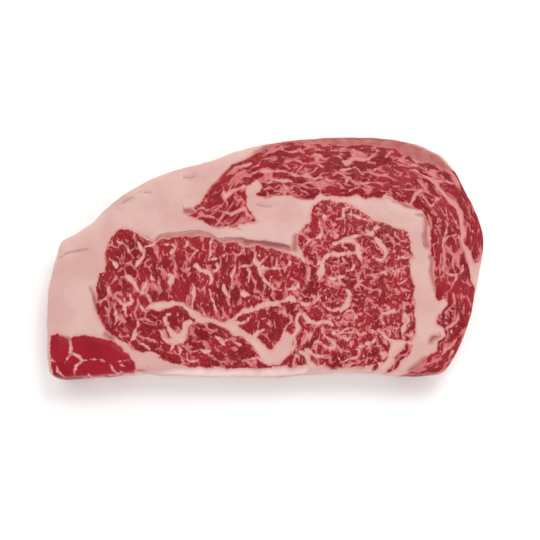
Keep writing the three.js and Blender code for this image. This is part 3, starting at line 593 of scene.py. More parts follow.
def smooth_curve(before, start, end, after, steps):
    """A centripetal Catmull-Rom curve: each gap's tangents are weighed by the square roots of the gaps'
    lengths, and steps points of its cubic follow each start."""
    gaps = [
        np.sqrt(np.linalg.norm(b - a, axis=1))[:, None]
        for a, b in ((before, start), (start, end), (end, after))
    ]
    leave = gaps[1] * ((start - before) / gaps[0] - (end - before) / (gaps[0] + gaps[1])) + (end - start)
    arrive = gaps[1] * ((after - end) / gaps[2] - (after - start) / (gaps[1] + gaps[2])) + (end - start)
    t = (np.arange(steps) / steps)[None, :, None]
    start, end, leave, arrive = (a[:, None, :] for a in (start, end, leave, arrive))
    curve = (
        start * (2 * t**3 - 3 * t**2 + 1)
        + leave * (t**3 - 2 * t**2 + t)
        + end * (3 * t**2 - 2 * t**3)
        + arrive * (t**3 - t**2)
    )
    return curve.reshape(-1, start.shape[-1])


def closed_curve(points, steps):
    """A smooth curve through points and back to the first of them."""
    return smooth_curve(*(np.roll(points, shift, axis=0) for shift in (1, 0, -1, -2)), steps)


def open_curve(points, steps):
    """A smooth curve from the first point to the last, its ends led on in a straight line."""
    led = np.vstack([2 * points[:1] - points[1:2], points, 2 * points[-1:] - points[-2:-1]])
    curve = smooth_curve(led[:-3], led[1:-2], led[2:-1], led[3:], steps)
    return np.vstack([curve, points[-1:]])


def even_steps(path, cells):
    """A stretch of a path as equally long steps in plan, without its last point."""
    lengths = np.linalg.norm(np.diff(path[:, :2], axis=0), axis=1)
    travelled = np.concatenate([[0], np.cumsum(lengths)])
    wanted = np.linspace(0, travelled[-1], cells + 1)[:-1]
    return np.stack([np.interp(wanted, travelled, path[:, k]) for k in range(path.shape[1])], axis=1)


def outline_ring():
    """The outline as samples of X, Y and rim width, with outward normals, at its true size."""
    points = np.array(OUTLINE, dtype=float)
    curve = closed_curve(points, CURVE_STEPS)
    curve = np.vstack([curve, curve[:1]])
    bounds = [k * CURVE_STEPS for k in (FRONT_LEFT, FRONT_RIGHT, BACK_RIGHT, BACK_LEFT, len(OUTLINE))]
    cells = (CELLS_ALONG, CELLS_ACROSS, CELLS_ALONG, CELLS_ACROSS)
    ring = np.vstack([even_steps(curve[a : b + 1], n) for a, b, n in zip(bounds, bounds[1:], cells)])
    low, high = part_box("steak")
    size = np.array([high.x - low.x, high.y - low.y]) / MM
    middle = (ring[:, :2].max(axis=0) + ring[:, :2].min(axis=0)) / 2
    ring[:, :2] = (ring[:, :2] - middle) * size / np.ptp(ring[:, :2], axis=0)
    along = np.roll(ring[:, :2], -1, axis=0) - np.roll(ring[:, :2], 1, axis=0)
    outward = np.stack([along[:, 1], -along[:, 0]], axis=1)
    return ring, outward / np.linalg.norm(outward, axis=1, keepdims=True)


def coons(ring, along, across):
    """A grid blended from a closed ring: each inner point is its two pairs of opposite sides, mixed by
    how near it is to each, less the mix of the four corners. Rows run along, columns across."""
    front = ring[: along + 1]
    right = ring[along : along + across + 1]
    back = ring[along + across : 2 * along + across + 1][::-1]
    left = np.vstack([ring[2 * along + across :], ring[:1]])[::-1]
    u = (np.arange(along + 1) / along)[None, :, None]
    v = (np.arange(across + 1) / across)[:, None, None]
    sides = (1 - v) * front[None] + v * back[None] + (1 - u) * left[:, None] + u * right[:, None]
    corners = (1 - v) * ((1 - u) * front[0] + u * front[-1]) + v * ((1 - u) * back[0] + u * back[-1])
    return sides - corners


def seen_on_top(readings, height):
    """Readings along the viewpoint's lines of sight, taken down those lines onto a level plane.

    Each line leaves the eye towards the reading's place on the plane through the aim, square to the
    view, and is followed until it has come down to the given height."""
    readings = np.array(readings, dtype=float)
    back = np.array([0, -math.cos(VIEW_ELEVATION), math.sin(VIEW_ELEVATION)])
    up = np.array([0, math.sin(VIEW_ELEVATION), math.cos(VIEW_ELEVATION)])
    eye = np.array(VIEW_AIM) + VIEW_DISTANCE * back
    sideways = readings[:, 0] - VIEW_AIM[0]
    upwards = readings[:, 1] - VIEW_AIM[1]
    line = -VIEW_DISTANCE * back + sideways[:, None] * np.array([1, 0, 0]) + upwards[:, None] * up
    reach = (height - eye[2]) / line[:, 2]
    plan = eye[:2] + reach[:, None] * line[:, :2]
    return np.column_stack([plan, readings[:, 2:]])


def stretch_between(points, a, b):
    """For the segment from a to b: each point's share along it and its distance from it."""
    along = b[:2] - a[:2]
    share = np.clip((points - a[:2]) @ along / (along @ along), 0, 1)
    return share, np.linalg.norm(points - a[:2] - share[:, None] * along, axis=1)


def depth_in_outline(points, outline):
    """How deep each point lies inside a closed outline: positive inside, negative outside."""
    nearest = np.full(len(points), np.inf)
    inside = np.zeros(len(points), dtype=bool)
    x, y = points.T
    for a, b in zip(outline, np.roll(outline, -1, axis=0)):
        nearest = np.minimum(nearest, stretch_between(points, a, b)[1])
        crosses = (a[1] > y) != (b[1] > y)
        if b[1] != a[1]:
            inside ^= crosses & (x < a[0] + (y - a[1]) * (b[0] - a[0]) / (b[1] - a[1]))
    return np.where(inside, nearest, -nearest)


def depth_in_strokes(points, strokes):
    """How deep each point lies inside any stroke: half the stroke's width less the distance from it, and
    no less than minus REACH. Only the points in the box round each stroke are measured."""
    deepest = np.full(len(points), -REACH)
    for stroke in strokes:
        margin = REACH + stroke[:, 2].max() / 2
        low, high = stroke[:, :2].min(axis=0) - margin, stroke[:, :2].max(axis=0) + margin
        near = np.flatnonzero(((points > low) & (points < high)).all(axis=1))
        for a, b in zip(stroke, stroke[1:]):
            share, distance = stretch_between(points[near], a, b)
            half_width = (a[2] + share * (b[2] - a[2])) / 2
            deepest[near] = np.maximum(deepest[near], half_width - distance)
    return deepest


def along_path(points, path):
    """Each point's nearest place on a path: its length along the path and its signed offset from it."""
    nearest = np.full(len(points), np.inf)
    length = np.zeros(len(points))
    offset = np.zeros(len(points))
    travelled = 0
    for a, b in zip(path, path[1:]):
        share, distance = stretch_between(points, a, b)
        step = np.linalg.norm(b - a)
        side = np.sign((b[0] - a[0]) * (points[:, 1] - a[1]) - (b[1] - a[1]) * (points[:, 0] - a[0]))
        closer = distance < nearest
        nearest = np.where(closer, distance, nearest)
        length = np.where(closer, travelled + share * step, length)
        offset = np.where(closer, side * distance, offset)
        travelled += step
    return length, offset


class Meat:
    """Where lean, seams, membranes, creases and tints lie on the top face, read for any point."""

    def __init__(self, thickness):
        self.thickness = thickness
        self.muscles = {name: seen_on_top(outline, thickness) for name, outline in MUSCLES.items()}
        self.seams = [seam * (1, 1, SEAM_SLIMMED) for seam in self.laid(SEAMS)]
        self.membranes = self.laid(MEMBRANES)
        self.creases = self.laid(CREASES)
        self.tints = {name: self.laid(strokes) for name, (strokes, share) in TINTS.items()}
        self.cap_grain = self.laid([CAP_GRAIN])[0]

    def laid(self, strokes):
        """Strokes as seen, laid on the top face as smooth curves."""
        return [open_curve(seen_on_top(stroke, self.thickness), STROKE_STEPS) for stroke in strokes]

    def plan(self, points):
        """The place on the top face whose meat runs down to each point: further out, and shifted by the
        drift and a wander of it, all of which grow with depth, and by a small wobble."""
        flat = points[:, :2]
        below = 1 - points[:, 2] / self.thickness
        drift = np.array(DRIFT) + WANDER * noise_pair(flat, WANDER_SIZE, WANDER_SEEDS) + DRAWN_IN * flat
        return flat + below[:, None] * drift + WOBBLE * noise_pair(flat, WOBBLE_SIZE, WOBBLE_SEEDS)

    def lean_depths(self, plan):
        """The depth in each muscle, by name."""
        return {name: depth_in_outline(plan, outline) for name, outline in self.muscles.items()}

    def seam_depths(self, plan, depths):
        """The depth in the seams, less the trim."""
        trim = np.where(depths["cap"] > -CAP_BORDER, CAP_SEAM_TRIM, SEAM_TRIM)
        return depth_in_strokes(plan, self.seams) - trim

    def face_depths(self, plan, height, strokes):
        """The depth in strokes that lie in the cut face and fade out below it."""
        below = np.maximum(self.thickness - height - FACE_DEPTH, 0)
        return depth_in_strokes(plan, strokes) - FACE_FADE * below

    def grain(self, plan, height, depths):
        """Coordinates that the marbling is drawn in: along the fibres, shortened by how much longer than
        wide the islands of lean are there, across them, and slowly down through the steak."""
        x, y = plan.T
        change = rise(x, *EYE_SLENDER_CHANGE)
        slender = EYE_SLENDER_LEFT + (EYE_SLENDER_RIGHT - EYE_SLENDER_LEFT) * change
        along, across = (y + EYE_TILT * x) / slender, x

        line = np.array(WEDGE_LINE)
        in_wedges = (y < np.interp(x, line[:, 0], line[:, 1])) & (x < line[-1, 0])
        cos, sin = math.cos(WEDGE_TURN), math.sin(WEDGE_TURN)
        along = np.where(in_wedges, (cos * x + sin * y) / WEDGE_SLENDER, along)
        across = np.where(in_wedges, -sin * x + cos * y, across)

        length, offset = along_path(plan, self.cap_grain)
        in_cap = np.maximum(depths["cap"], depths["strip"]) > np.maximum(depths["eye"], depths["corner"])
        along = np.where(in_cap, CAP_PATTERN_START + length / CAP_SLENDER, along)
        across = np.where(in_cap, offset, across)
        return np.column_stack([along, across, GRAIN_DOWN * height])

    def marbling(self, plan, depths):
        """How strongly each place is marbled, from 0 to 1: the eye's right part most, and the corner
        muscle hardly at all."""
        change = rise(plan[:, 0], *EYE_MARBLING_CHANGE)
        strength = EYE_MARBLING_LEFT + (1 - EYE_MARBLING_LEFT) * change
        strength = np.where(depths["cap"] > -CAP_BORDER, CAP_MARBLING, strength)
        return np.where(depths["corner"] > -CORNER_BORDER, CORNER_MARBLING, strength)

    def top_height(self, plan):
        """The height of the cut top: muscles stand proud of the fat, seams and creases sink in, the face
        sways as a sine along X times a cosine along Y, the end over the cap sags, and there are soft
        lumps all over."""
        x, y = plan.T
        depths = self.lean_depths(plan)
        muscle = MUSCLE_RISE * rise(np.max(list(depths.values()), axis=0), *MUSCLE_SHOULDER)
        along, across = x / SWAY_LENGTHS[0] + SWAY_STARTS[0], y / SWAY_LENGTHS[1] + SWAY_STARTS[1]
        sway = SWAY * np.sin(along) * np.cos(across)
        sag = CAP_END_SAG * rise(x, *CAP_END)
        seams = SEAM_SINK * rise(self.seam_depths(plan, depths), *SEAM_SHOULDER)
        creases = CREASE_SINK * rise(depth_in_strokes(plan, self.creases), *CREASE_SHOULDER)
        lumps = layered_noise(plan, TOP_LUMPS)
        return self.thickness - MUSCLE_RISE - sag + muscle + sway - seams - creases + lumps


def wall_rings(ring, outward, top_of_rim):
    """The rings from the edge of the top down to the foot. Their inset and height follow a quarter turn
    for the top rim, a straight fall to the bulge and on to the foot, and a quarter turn for the foot."""
    rim = ring[:, 2]
    bulge_height = BULGE_SHARE * top_of_rim.mean()
    insets, heights = [], []
    for turn in np.linspace(0, math.pi / 2, TOP_RIM_ROWS + 1):
        insets.append(WALL_BULGE + rim * (1 - math.sin(turn)))
        heights.append(top_of_rim - TOP_RIM_DROP * rim * (1 - math.cos(turn)))
    rim_foot = heights[-1]
    for share in np.linspace(0, 1, WALL_ROWS + 2)[1:-1]:
        height = rim_foot + share * (FOOT_RIM - rim_foot)
        from_bulge = np.where(
            height > bulge_height,
            (height - bulge_height) / (rim_foot - bulge_height),
            (bulge_height - height) / (bulge_height - FOOT_RIM),
        )
        insets.append(WALL_BULGE * from_bulge**2)
        heights.append(height)
    for turn in np.linspace(math.pi / 2, 0, FOOT_RIM_ROWS + 1):
        insets.append(WALL_BULGE + FOOT_RIM * (1 - math.sin(turn)) + 0 * rim)
        heights.append(FOOT_RIM * (1 - math.cos(turn)) + 0 * rim)
    rings = [
        np.column_stack([ring[:, :2] - outward * inset[:, None], height])
        for inset, height in zip(insets, heights)
    ]
    return np.array(rings)


def wavy(rings, ring, outward):
    """The rings moved in and out by shallow waves, which fade towards the top and the foot."""
    level = np.arange(len(rings)) / (len(rings) - 1)
    fade = np.sin(math.pi * level) ** WAVE_FADE
    arc = np.cumsum(np.linalg.norm(np.diff(ring[:, :2], axis=0, append=ring[:1, :2]), axis=1))
    moved = rings.copy()
    for row, share in enumerate(level):
        place = np.column_stack([arc, np.full(len(ring), WAVE_FALL * share)])
        moved[row][:, :2] += outward * (fade[row] * layered_noise(place, WALL_WAVES))[:, None]
    return moved


def grid_numbers(edge, inner_start, along, across):
    """The vertex numbers of a grid whose border is an existing ring and whose inside is new."""
    numbers = np.zeros((across + 1, along + 1), dtype=int)
    numbers[0] = edge[: along + 1]
    numbers[:, -1] = edge[along : along + across + 1]
    numbers[-1] = edge[along + across : 2 * along + across + 1][::-1]
    numbers[:, 0] = np.append(edge[2 * along + across :], edge[0])[::-1]
    numbers[1:-1, 1:-1] = inner_start + np.arange((across - 1) * (along - 1)).reshape(across - 1, along - 1)
    return numbers


def grid_faces(numbers):
    """The quads of a grid of vertex numbers, facing up when its rows run along X and then up Y."""
    corners = (numbers[:-1, :-1], numbers[:-1, 1:], numbers[1:, 1:], numbers[1:, :-1])
    return np.stack(corners, axis=-1).reshape(-1, 4)


def steak_surface(meat):
    """The whole closed surface: points in mm and faces. Quads join the rings, and one row of triangles
    halves their count before the underside's grid."""
    ring, outward = outline_ring()
    edge_plan = ring[:, :2] - outward * (WALL_BULGE + ring[:, 2:3])
    rings = wavy(wall_rings(ring, outward, meat.top_height(edge_plan)), ring, outward)
    rows, around = rings.shape[:2]

    top = coons(rings[0], CELLS_ALONG, CELLS_ACROSS)[1:-1, 1:-1].reshape(-1, 3)
    top[:, 2] = meat.top_height(top[:, :2])
    under = coons(rings[-1][::2], CELLS_ALONG // 2, CELLS_ACROSS // 2)[1:-1, 1:-1].reshape(-1, 3)
    points = np.vstack([rings.reshape(-1, 3), top, under])

    column = np.arange(around)
    beside = np.roll(column, -1)
    parts = [grid_faces(grid_numbers(column, rows * around, CELLS_ALONG, CELLS_ACROSS))]
    for row in range(rows - 2):
        upper, lower = row * around, (row + 1) * around
        parts.append(np.column_stack([lower + column, lower + beside, upper + beside, upper + column]))

    upper, lower = (rows - 2) * around, (rows - 1) * around
    left, middle, right = column[::2], column[1::2], np.roll(column[::2], -1)
    parts += [
        np.column_stack([lower + left, upper + middle, upper + left]),
        np.column_stack([lower + left, lower + right, upper + middle]),
        np.column_stack([lower + right, upper + right, upper + middle]),
    ]
    numbers = grid_numbers(lower + left, rows * around + len(top), CELLS_ALONG // 2, CELLS_ACROSS // 2)
    parts.append(grid_faces(numbers)[:, ::-1])
    return without_unused(points, parts, lower + middle)


def without_unused(points, parts, unused):
    """The points without the unused ones, and the faces of all parts numbered anew."""
    kept = np.ones(len(points), dtype=bool)
    kept[unused] = False
    number = np.cumsum(kept) - 1
    return points[kept], [face for part in parts for face in number[part].tolist()]


def store(mesh, name, values):
    """Keeps a value, or a vector, for each point of a mesh."""
    kind, field = ("FLOAT_VECTOR", "vector") if values.ndim == 2 else ("FLOAT", "value")
    attribute = mesh.attributes.new(name, kind, "POINT")
    attribute.data.foreach_set(field, np.ascontiguousarray(values, "f").ravel())


def add(tree, kind, inputs=(), output=0, **settings):
    """Adds a node with its settings and links, and gives one of its outputs. Its inputs are sockets or
    values, in the node's own order or by name or number."""
    node = tree.nodes.new("ShaderNode" + kind)
    for name, value in settings.items():
        setattr(node, name, value)
    for key, value in inputs.items() if isinstance(inputs, dict) else enumerate(inputs):
        if isinstance(value, bpy.types.NodeSocket):
            tree.links.new(value, node.inputs[key])
        else:
            node.inputs[key].default_value = value
    return node.outputs[output]


def bent(tree, vector, size, reach):
    """A vector moved by a noise of the given size, by up to about half the reach each way."""
    noise = add(tree, "TexNoise", {"Vector": vector, "Scale": 1 / size}, "Color")
    offset = add(tree, "VectorMath", (noise, (0.5,) * 3), operation="SUBTRACT")
    return add(tree, "VectorMath", (offset, (reach,) * 3, vector), operation="MULTIPLY_ADD")


def vein_layer(tree, place, cell, width, patches, lacking):
    """How deep a point lies in the veins between islands of lean, in mm: the veins run along the edges of
    random cells, and half their width comes and goes with a slow noise down to less than none, so many
    break off. Where marbling lacks they are thinner by as much."""
    inputs = {"Vector": place, "Scale": 1 / cell, "Randomness": 1.0}
    edge = add(tree, "TexVoronoi", inputs, "Distance", feature="DISTANCE_TO_EDGE")
    distance = add(tree, "Math", (edge, cell), operation="MULTIPLY")
    slow = add(tree, "TexNoise", {"Vector": place, "Scale": 1 / patches})
    coming = add(tree, "MapRange", (slow, *VEIN_COMING, VEIN_BROKEN, width / 2), **SMOOTH)
    left = add(tree, "Math", (coming, lacking), operation="SUBTRACT")
    return add(tree, "Math", (left, distance), operation="SUBTRACT")


def fleck_layer(tree, place, size, level, lacking):
    """How deep a point lies in short flecks of fat, in mm: where a noise stands above a level, less
    where marbling lacks."""
    noise = add(tree, "TexNoise", {"Vector": place, "Scale": 1 / size, "Detail": 1.0})
    slope = FLECK_SLOPE * size
    depth = add(tree, "Math", (noise, slope, -slope * level), operation="MULTIPLY_ADD")
    return add(tree, "Math", (lacking, -FLECK_LOSS, depth), operation="MULTIPLY_ADD")


def painted(tree, under, over, depth, start, full, most=1.0):
    """A colour laid over another: none of it up to a depth, then by a smooth S to the most of it at
    another depth."""
    share = add(tree, "MapRange", (depth, start, full, 0.0, most), **SMOOTH)
    return add(tree, "Mix", {SHARE: share, UNDER: under, OVER: over}, MIXED, data_type="RGBA")


def fat_depths(tree, settings, place, noises, stored):
    """How deep a point lies in fat, in mm: in broad fat, which is the fat outside the muscles and the
    seams, in that or the thicker middle of a vein, and in any fat at all."""
    spacing, width = settings.vein_spacing / MM, settings.vein_width / MM
    lacking = add(tree, "Math", (1.0, stored["marbling"]), operation="SUBTRACT")
    layers = [
        vein_layer(tree, place, spacing * apart, width * wide, VEIN_PATCHES * apart, lacking)
        for apart, wide in VEIN_LAYERS
    ]
    layers += [fleck_layer(tree, place, size, level, lacking) for size, level in FLECKS]
    veins = layers[0]
    for layer in layers[1:]:
        veins = add(tree, "Math", (veins, layer), operation="MAXIMUM")
    veins = add(tree, "Math", (noises["ragged"], VEIN_RAGGED, veins), operation="MULTIPLY_ADD")

    seams = add(tree, "Math", (noises["torn"], SEAM_RAGGED, stored["seam"]), operation="MULTIPLY_ADD")
    wobble = add(tree, "Math", (noises["ragged"], MUSCLE_RAGGED), operation="MULTIPLY")
    outside = add(tree, "Math", (wobble, stored["lean"]), operation="SUBTRACT")
    broad = add(tree, "Math", (outside, seams), operation="MAXIMUM")
    middle = add(tree, "Math", (veins, VEIN_EDGE), operation="SUBTRACT")
    thick = add(tree, "Math", (broad, middle), operation="MAXIMUM")
    return broad, thick, add(tree, "Math", (broad, veins, FAT_BLEND), operation="SMOOTH_MAX")


def beef_colour(tree, settings, noises, stored, depths):
    """The colour of the cut face. Lean is mottled, and brighter where it is hardly marbled. Fat turns it
    pink where it is a hair deep, then to the seams' tone and to that of broad fat. Both of those take
    the tints, of which the pale one is a painted highlight on the front rim. Membranes darken all, and
    creases darken it too: partly their thin brown line, partly painted shade in the fold."""

    def tone(name):
        return tuple(getattr(settings, name + "_colour"))

    broad, thick, fat = depths
    marbling = stored["marbling"]
    mottling = add(tree, "Math", (marbling, MOTTLING), operation="MULTIPLY")
    lean = painted(tree, tone("lean"), tone("deep_lean"), noises["slow"], 0.35, 0.65)
    lean = painted(tree, lean, tone("bright_lean"), marbling, 0.7, 0.1, 0.5)
    lean = painted(tree, lean, tone("vein"), noises["mottled"], 0.48, 0.78, mottling)

    fat_tone = painted(tree, tone("fat"), tone("shaded_fat"), noises["patches"], 0.35, 0.65)
    seam_tone = painted(tree, tone("seam"), tone("vein"), stored["cap"], -0.5, 1.5, 0.45)
    uneven = add(tree, "MapRange", (noises["uneven"], 0.3, 0.7, 0.75, 1.0), **SMOOTH)
    for name, (strokes, share) in TINTS.items():
        most = add(tree, "Math", (uneven, share), operation="MULTIPLY")
        fat_tone = painted(tree, fat_tone, tone(name), stored[name], *TINT_EDGE, most)
        seam_tone = painted(tree, seam_tone, tone(name), stored[name], *TINT_EDGE, most)

    membrane = (noises["ragged"], VEIN_RAGGED, stored["membrane"])
    membrane = add(tree, "Math", membrane, operation="MULTIPLY_ADD")
    colour = lean
    for over, depth, start, full, most in (
        (tone("vein"), fat, -0.35, 0.12, 1.0),
        (seam_tone, thick, 0.0, 0.6, 1.0),
        (fat_tone, broad, 0.5, 2.4, 1.0),
        (tone("membrane"), membrane, -0.4, 0.55, 0.85),
        # Creases darken: partly their thin brown line, partly painted shade in the fold
        (tone("membrane"), stored["crease"], -0.7, 0.5, 0.45),
    ):
        colour = painted(tree, colour, over, depth, start, full, most)
    return colour


def beef_material(settings):
    """Raw beef, freshly cut with a knife. The eye gets deep red lean with soft pink veins, cream fat that
    is duller than the lean and lets light a little way in, and a weak gloss from the thin wet film."""
    material = bpy.data.materials.new("raw_beef")
    material.use_nodes = True
    tree = material.node_tree
    tree.nodes.clear()

    names = ("lean", "seam", "cap", "membrane", "crease", "marbling", *TINTS)
    stored = {name: add(tree, "Attribute", output="Fac", attribute_name=name) for name in names}
    grain = add(tree, "Attribute", output="Vector", attribute_name="grain")
    metres = add(tree, "TexCoord", output="Object")
    position = add(tree, "VectorMath", {0: metres, "Scale": 1 / MM}, operation="SCALE")
    place = grain
    for size, reach in VEIN_BENDS:
        place = bent(tree, place, size, reach)

    # What each noise runs along, the size of its features in mm, its detail and its roughness
    noises = {}
    for name, vector, size, detail, roughness in (
        ("ragged", position, 1.5, 3.0, 0.6),
        ("torn", place, 2.6, 4.0, 0.65),
        ("slow", position, 13, 2.0, 0.5),
        ("mottled", grain, 0.9, 3.0, 0.6),
        ("patches", position, 18, 3.0, 0.5),
        ("uneven", position, 5.0, 3.0, 0.5),
        ("lumps", position, 0.9, 3.0, 0.5),
    ):
        inputs = {"Vector": vector, "Scale": 1 / size, "Detail": detail, "Roughness": roughness}
        noises[name] = add(tree, "TexNoise", inputs)
    for name in ("ragged", "torn"):
        noises[name] = add(tree, "Math", (noises[name], 0.5), operation="SUBTRACT")

    depths = fat_depths(tree, settings, place, noises, stored)
    fatness = add(tree, "MapRange", (depths[-1], -0.2, 0.3), **SMOOTH)
    lumps = add(tree, "Math", (noises["lumps"], 0.35), operation="MULTIPLY")
    height = add(tree, "Math", (fatness, -0.5, lumps), operation="MULTIPLY_ADD")
    inputs = {
        "Base Color": beef_colour(tree, settings, noises, stored, depths),
        "Roughness": add(tree, "MapRange", (fatness, 0.0, 1.0, 0.36, 0.5), **SMOOTH),
        "Normal": add(tree, "Bump", {"Strength": 0.35, "Distance": 0.4 * MM, "Height": height}),
        "Specular IOR Level": 0.07,
        "Subsurface Weight": 0.12,
        "Subsurface Radius": (1.0, 0.35, 0.3),
        "Subsurface Scale": 1.2 * MM,
        "Coat Weight": settings.moisture,
        "Coat Roughness": 0.22,
    }
    shader = add(tree, "BsdfPrincipled", inputs)
    output = tree.nodes.new("ShaderNodeOutputMaterial")
    tree.links.new(shader, output.inputs["Surface"])
    return material


def colour_property(name, description, hex_colour):
    """A colour that a user would change."""
    settings = {"subtype": "COLOR", "size": 4, "min": 0, "max": 1, "default": linear(hex_colour)}
    return bpy.props.FloatVectorProperty(name=name, description=description, **settings)


def length_property(name, description, length, least):
    """A length that a user would change."""
    settings = {"default": length, "min": least, "unit": "LENGTH"}
    return bpy.props.FloatProperty(name=name, description=description, **settings)


class SteakSettings(bpy.types.PropertyGroup):
    """The sizes and colours of the meat."""

    lean_colour: colour_property("Lean", "Colour of the lean meat", "#8a1e27")
    bright_lean_colour: colour_property("Bright lean", "Colour of the hardly marbled lean", "#971829")
    deep_lean_colour: colour_property("Deep lean", "Colour of the darkest lean", "#73161e")
    vein_colour: colour_property("Thin veins", "Colour of hair-thin veins of fat", "#b96465")
    seam_colour: colour_property("Seams", "Colour of the seams inside the muscles", "#c5938c")
    fat_colour: colour_property("Fat", "Colour of the broad fat", "#c7a49d")
    shaded_fat_colour: colour_property("Shaded fat", "Colour of the duller patches of fat", "#c19892")
    # This colour also draws the far rim's darker line and, partly as painted shade, darkens the creases
    membrane_colour: colour_property("Membrane", "Colour of the thin membranes round muscles", "#814547")
    flushed_colour: colour_property("Flushed fat", "Colour of fat that blood has soaked into", "#9b4746")
    # The pale rim colour is a painted highlight on the rolled front rim
    pale_colour: colour_property("Pale rim", "Colour of the palest fat, along the straight side", "#dfc8c3")
    stained_colour: colour_property("Stained fat", "Colour of the browner patches of fat", "#ae988a")
    vein_spacing: length_property("Vein spacing", "Distance between the main veins", 7 * MM, 1 * MM)
    vein_width: length_property("Vein width", "Width of the main veins", 1.2 * MM, 0)
    moisture: bpy.props.FloatProperty(
        name="Moisture",
        description="Strength of the wet film",
        default=0.04,
        min=0,
        max=1,
        subtype="FACTOR",
    )


class StudioSettings(bpy.types.PropertyGroup):
    """The floor, the lights and the camera."""

    floor_colour: colour_property("Floor", "Colour of the floor", "#f4f3f2")
    floor_size: length_property("Floor size", "Length of the floor's sides", 6.0, 1)
    key_power: bpy.props.FloatProperty(
        name="Key light", description="Power of the soft key light", default=5.5, min=0, unit="POWER"
    )
    sky_strength: bpy.props.FloatProperty(
        name="Fill", description="Strength of the light from all round", default=1.6, min=0
    )
    elevation: bpy.props.FloatProperty(
        name="Camera elevation",
        description="Camera's angle above the floor",
        default=VIEW_ELEVATION,
        subtype="ANGLE",
    )
    lens: bpy.props.FloatProperty(
        name="Lens", description="Focal length for a sensor 36 mm wide", default=85.0, min=10, unit="CAMERA"
    )


class STEAK_OT_meat(bpy.types.Operator):
    """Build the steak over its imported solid"""

    bl_idname = "steak.meat"
    bl_label = "Steak"

    def execute(self, context):
        low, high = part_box("steak")
        thickness = (high.z - low.z) / MM - SWAY
        meat = Meat(thickness)
        points, faces = steak_surface(meat)
        mesh = bpy.data.meshes.new("raw_steak")
        mesh.from_pydata((points * MM).tolist(), [], faces)
        if mesh.validate():
            raise RuntimeError("the steak's mesh has faulty faces")
        mesh.shade_smooth()

        plan = meat.plan(points)
        depths = meat.lean_depths(plan)
        store(mesh, "lean", np.max(list(depths.values()), axis=0))
        store(mesh, "cap", depths["cap"])
        store(mesh, "seam", meat.seam_depths(plan, depths))
        store(mesh, "crease", depth_in_strokes(plan, meat.creases))
        store(mesh, "marbling", meat.marbling(plan, depths))
        store(mesh, "grain", meat.grain(plan, points[:, 2], depths))
        for name, strokes in {"membrane": meat.membranes, **meat.tints}.items():
            store(mesh, name, meat.face_depths(plan, points[:, 2], strokes))

        steak = bpy.data.objects.new("raw_steak", mesh)
        mesh.materials.append(beef_material(context.scene.steak_settings))
        context.scene.collection.objects.link(steak)
        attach(steak, "root")
        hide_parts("steak")
        return {"FINISHED"}


def floor_material(colour):
    """Matt white card, as studios lay: the eye gets a plain pale ground and soft shadows, with no gloss."""
    material = bpy.data.materials.new("matt_white_card")
    material.use_nodes = True
    shader = material.node_tree.nodes["Principled BSDF"]
    shader.inputs["Base Color"].default_value = colour
    shader.inputs["Roughness"].default_value = 0.9
    shader.inputs["Specular IOR Level"].default_value = 0.1
    return material


def aim(obj, place, target):
    """Puts a light or camera at a place, looking at a target."""
    obj.location = place
    obj.rotation_mode = "QUATERNION"
    obj.rotation_quaternion = (Vector(target) - Vector(place)).to_track_quat("-Z", "Y")


def studio_world(strength):
    """Even light from the walls of a white studio, dimmer straight above, where the camera hangs."""
    world = bpy.data.worlds.new("studio")
    world.use_nodes = True
    tree = world.node_tree
    direction = add(tree, "TexCoord", output="Generated")
    upward = add(tree, "SeparateXYZ", (direction,), "Z")
    light = add(tree, "MapRange", (upward, *SKY_FADE, strength, SKY_TOP * strength), **SMOOTH)
    background = tree.nodes["Background"]
    background.inputs["Color"].default_value = (1, 1, 1, 1)
    tree.links.new(light, background.inputs["Strength"])
    return world


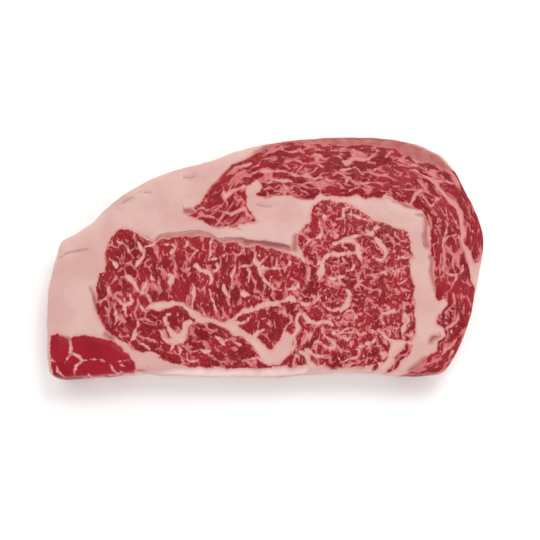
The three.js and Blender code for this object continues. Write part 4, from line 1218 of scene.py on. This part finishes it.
class STEAK_OT_studio(bpy.types.Operator):
    """Lay the pale floor, set the soft light and place the camera"""

    bl_idname = "steak.studio"
    bl_label = "Studio"

    def execute(self, context):
        settings = context.scene.studio_settings
        half = settings.floor_size / 2
        mesh = bpy.data.meshes.new("floor")
        corners = [(-half, -half), (half, -half), (half, half), (-half, half)]
        mesh.from_pydata([(x, y, -FLOOR_DROP) for x, y in corners], [], [(0, 1, 2, 3)])
        mesh.materials.append(floor_material(tuple(settings.floor_colour)))
        floor = bpy.data.objects.new("floor", mesh)
        context.scene.collection.objects.link(floor)

        light = bpy.data.lights.new("key", "AREA")
        light.energy = settings.key_power
        light.shape = "SQUARE"
        light.size = KEY_SIZE
        key = bpy.data.objects.new("key", light)
        context.scene.collection.objects.link(key)
        aim(key, KEY_PLACE, (0, 0, 0))

        context.scene.world = studio_world(settings.sky_strength)
        context.scene.view_settings.view_transform = "Standard"

        target = Vector(VIEW_AIM) * MM
        back = Vector((0, -math.cos(settings.elevation), math.sin(settings.elevation)))
        camera_data = bpy.data.cameras.new("camera")
        camera_data.lens = settings.lens
        camera = bpy.data.objects.new("camera", camera_data)
        context.scene.collection.objects.link(camera)
        aim(camera, target + back * VIEW_DISTANCE * MM, target)
        context.scene.camera = camera
        return {"FINISHED"}


class STEAK_PT_panel(bpy.types.Panel):
    """Lists the steak's settings and steps"""

    bl_label = "Steak"
    bl_idname = "STEAK_PT_panel"
    bl_space_type = "VIEW_3D"
    bl_region_type = "UI"
    bl_category = "Steak"

    def draw(self, context):
        layout = self.layout
        for settings, operator in (
            (context.scene.steak_settings, STEAK_OT_meat),
            (context.scene.studio_settings, STEAK_OT_studio),
        ):
            for name in settings.__annotations__:
                layout.prop(settings, name)
            layout.operator(operator.bl_idname)


CLASSES = (SteakSettings, StudioSettings, STEAK_OT_meat, STEAK_OT_studio, STEAK_PT_panel)


def register():
    """Registers the classes and hangs their settings on the scene."""
    for item in CLASSES:
        bpy.utils.register_class(item)
    bpy.types.Scene.steak_settings = bpy.props.PointerProperty(type=SteakSettings)
    bpy.types.Scene.studio_settings = bpy.props.PointerProperty(type=StudioSettings)


def unregister():
    """Takes the settings off the scene and the classes out again."""
    del bpy.types.Scene.studio_settings
    del bpy.types.Scene.steak_settings
    for item in reversed(CLASSES):
        bpy.utils.unregister_class(item)


def main():
    """Builds the steak and its studio."""
    register()
    bpy.ops.steak.meat()
    bpy.ops.steak.studio()


if __name__ == "__main__":
    main()
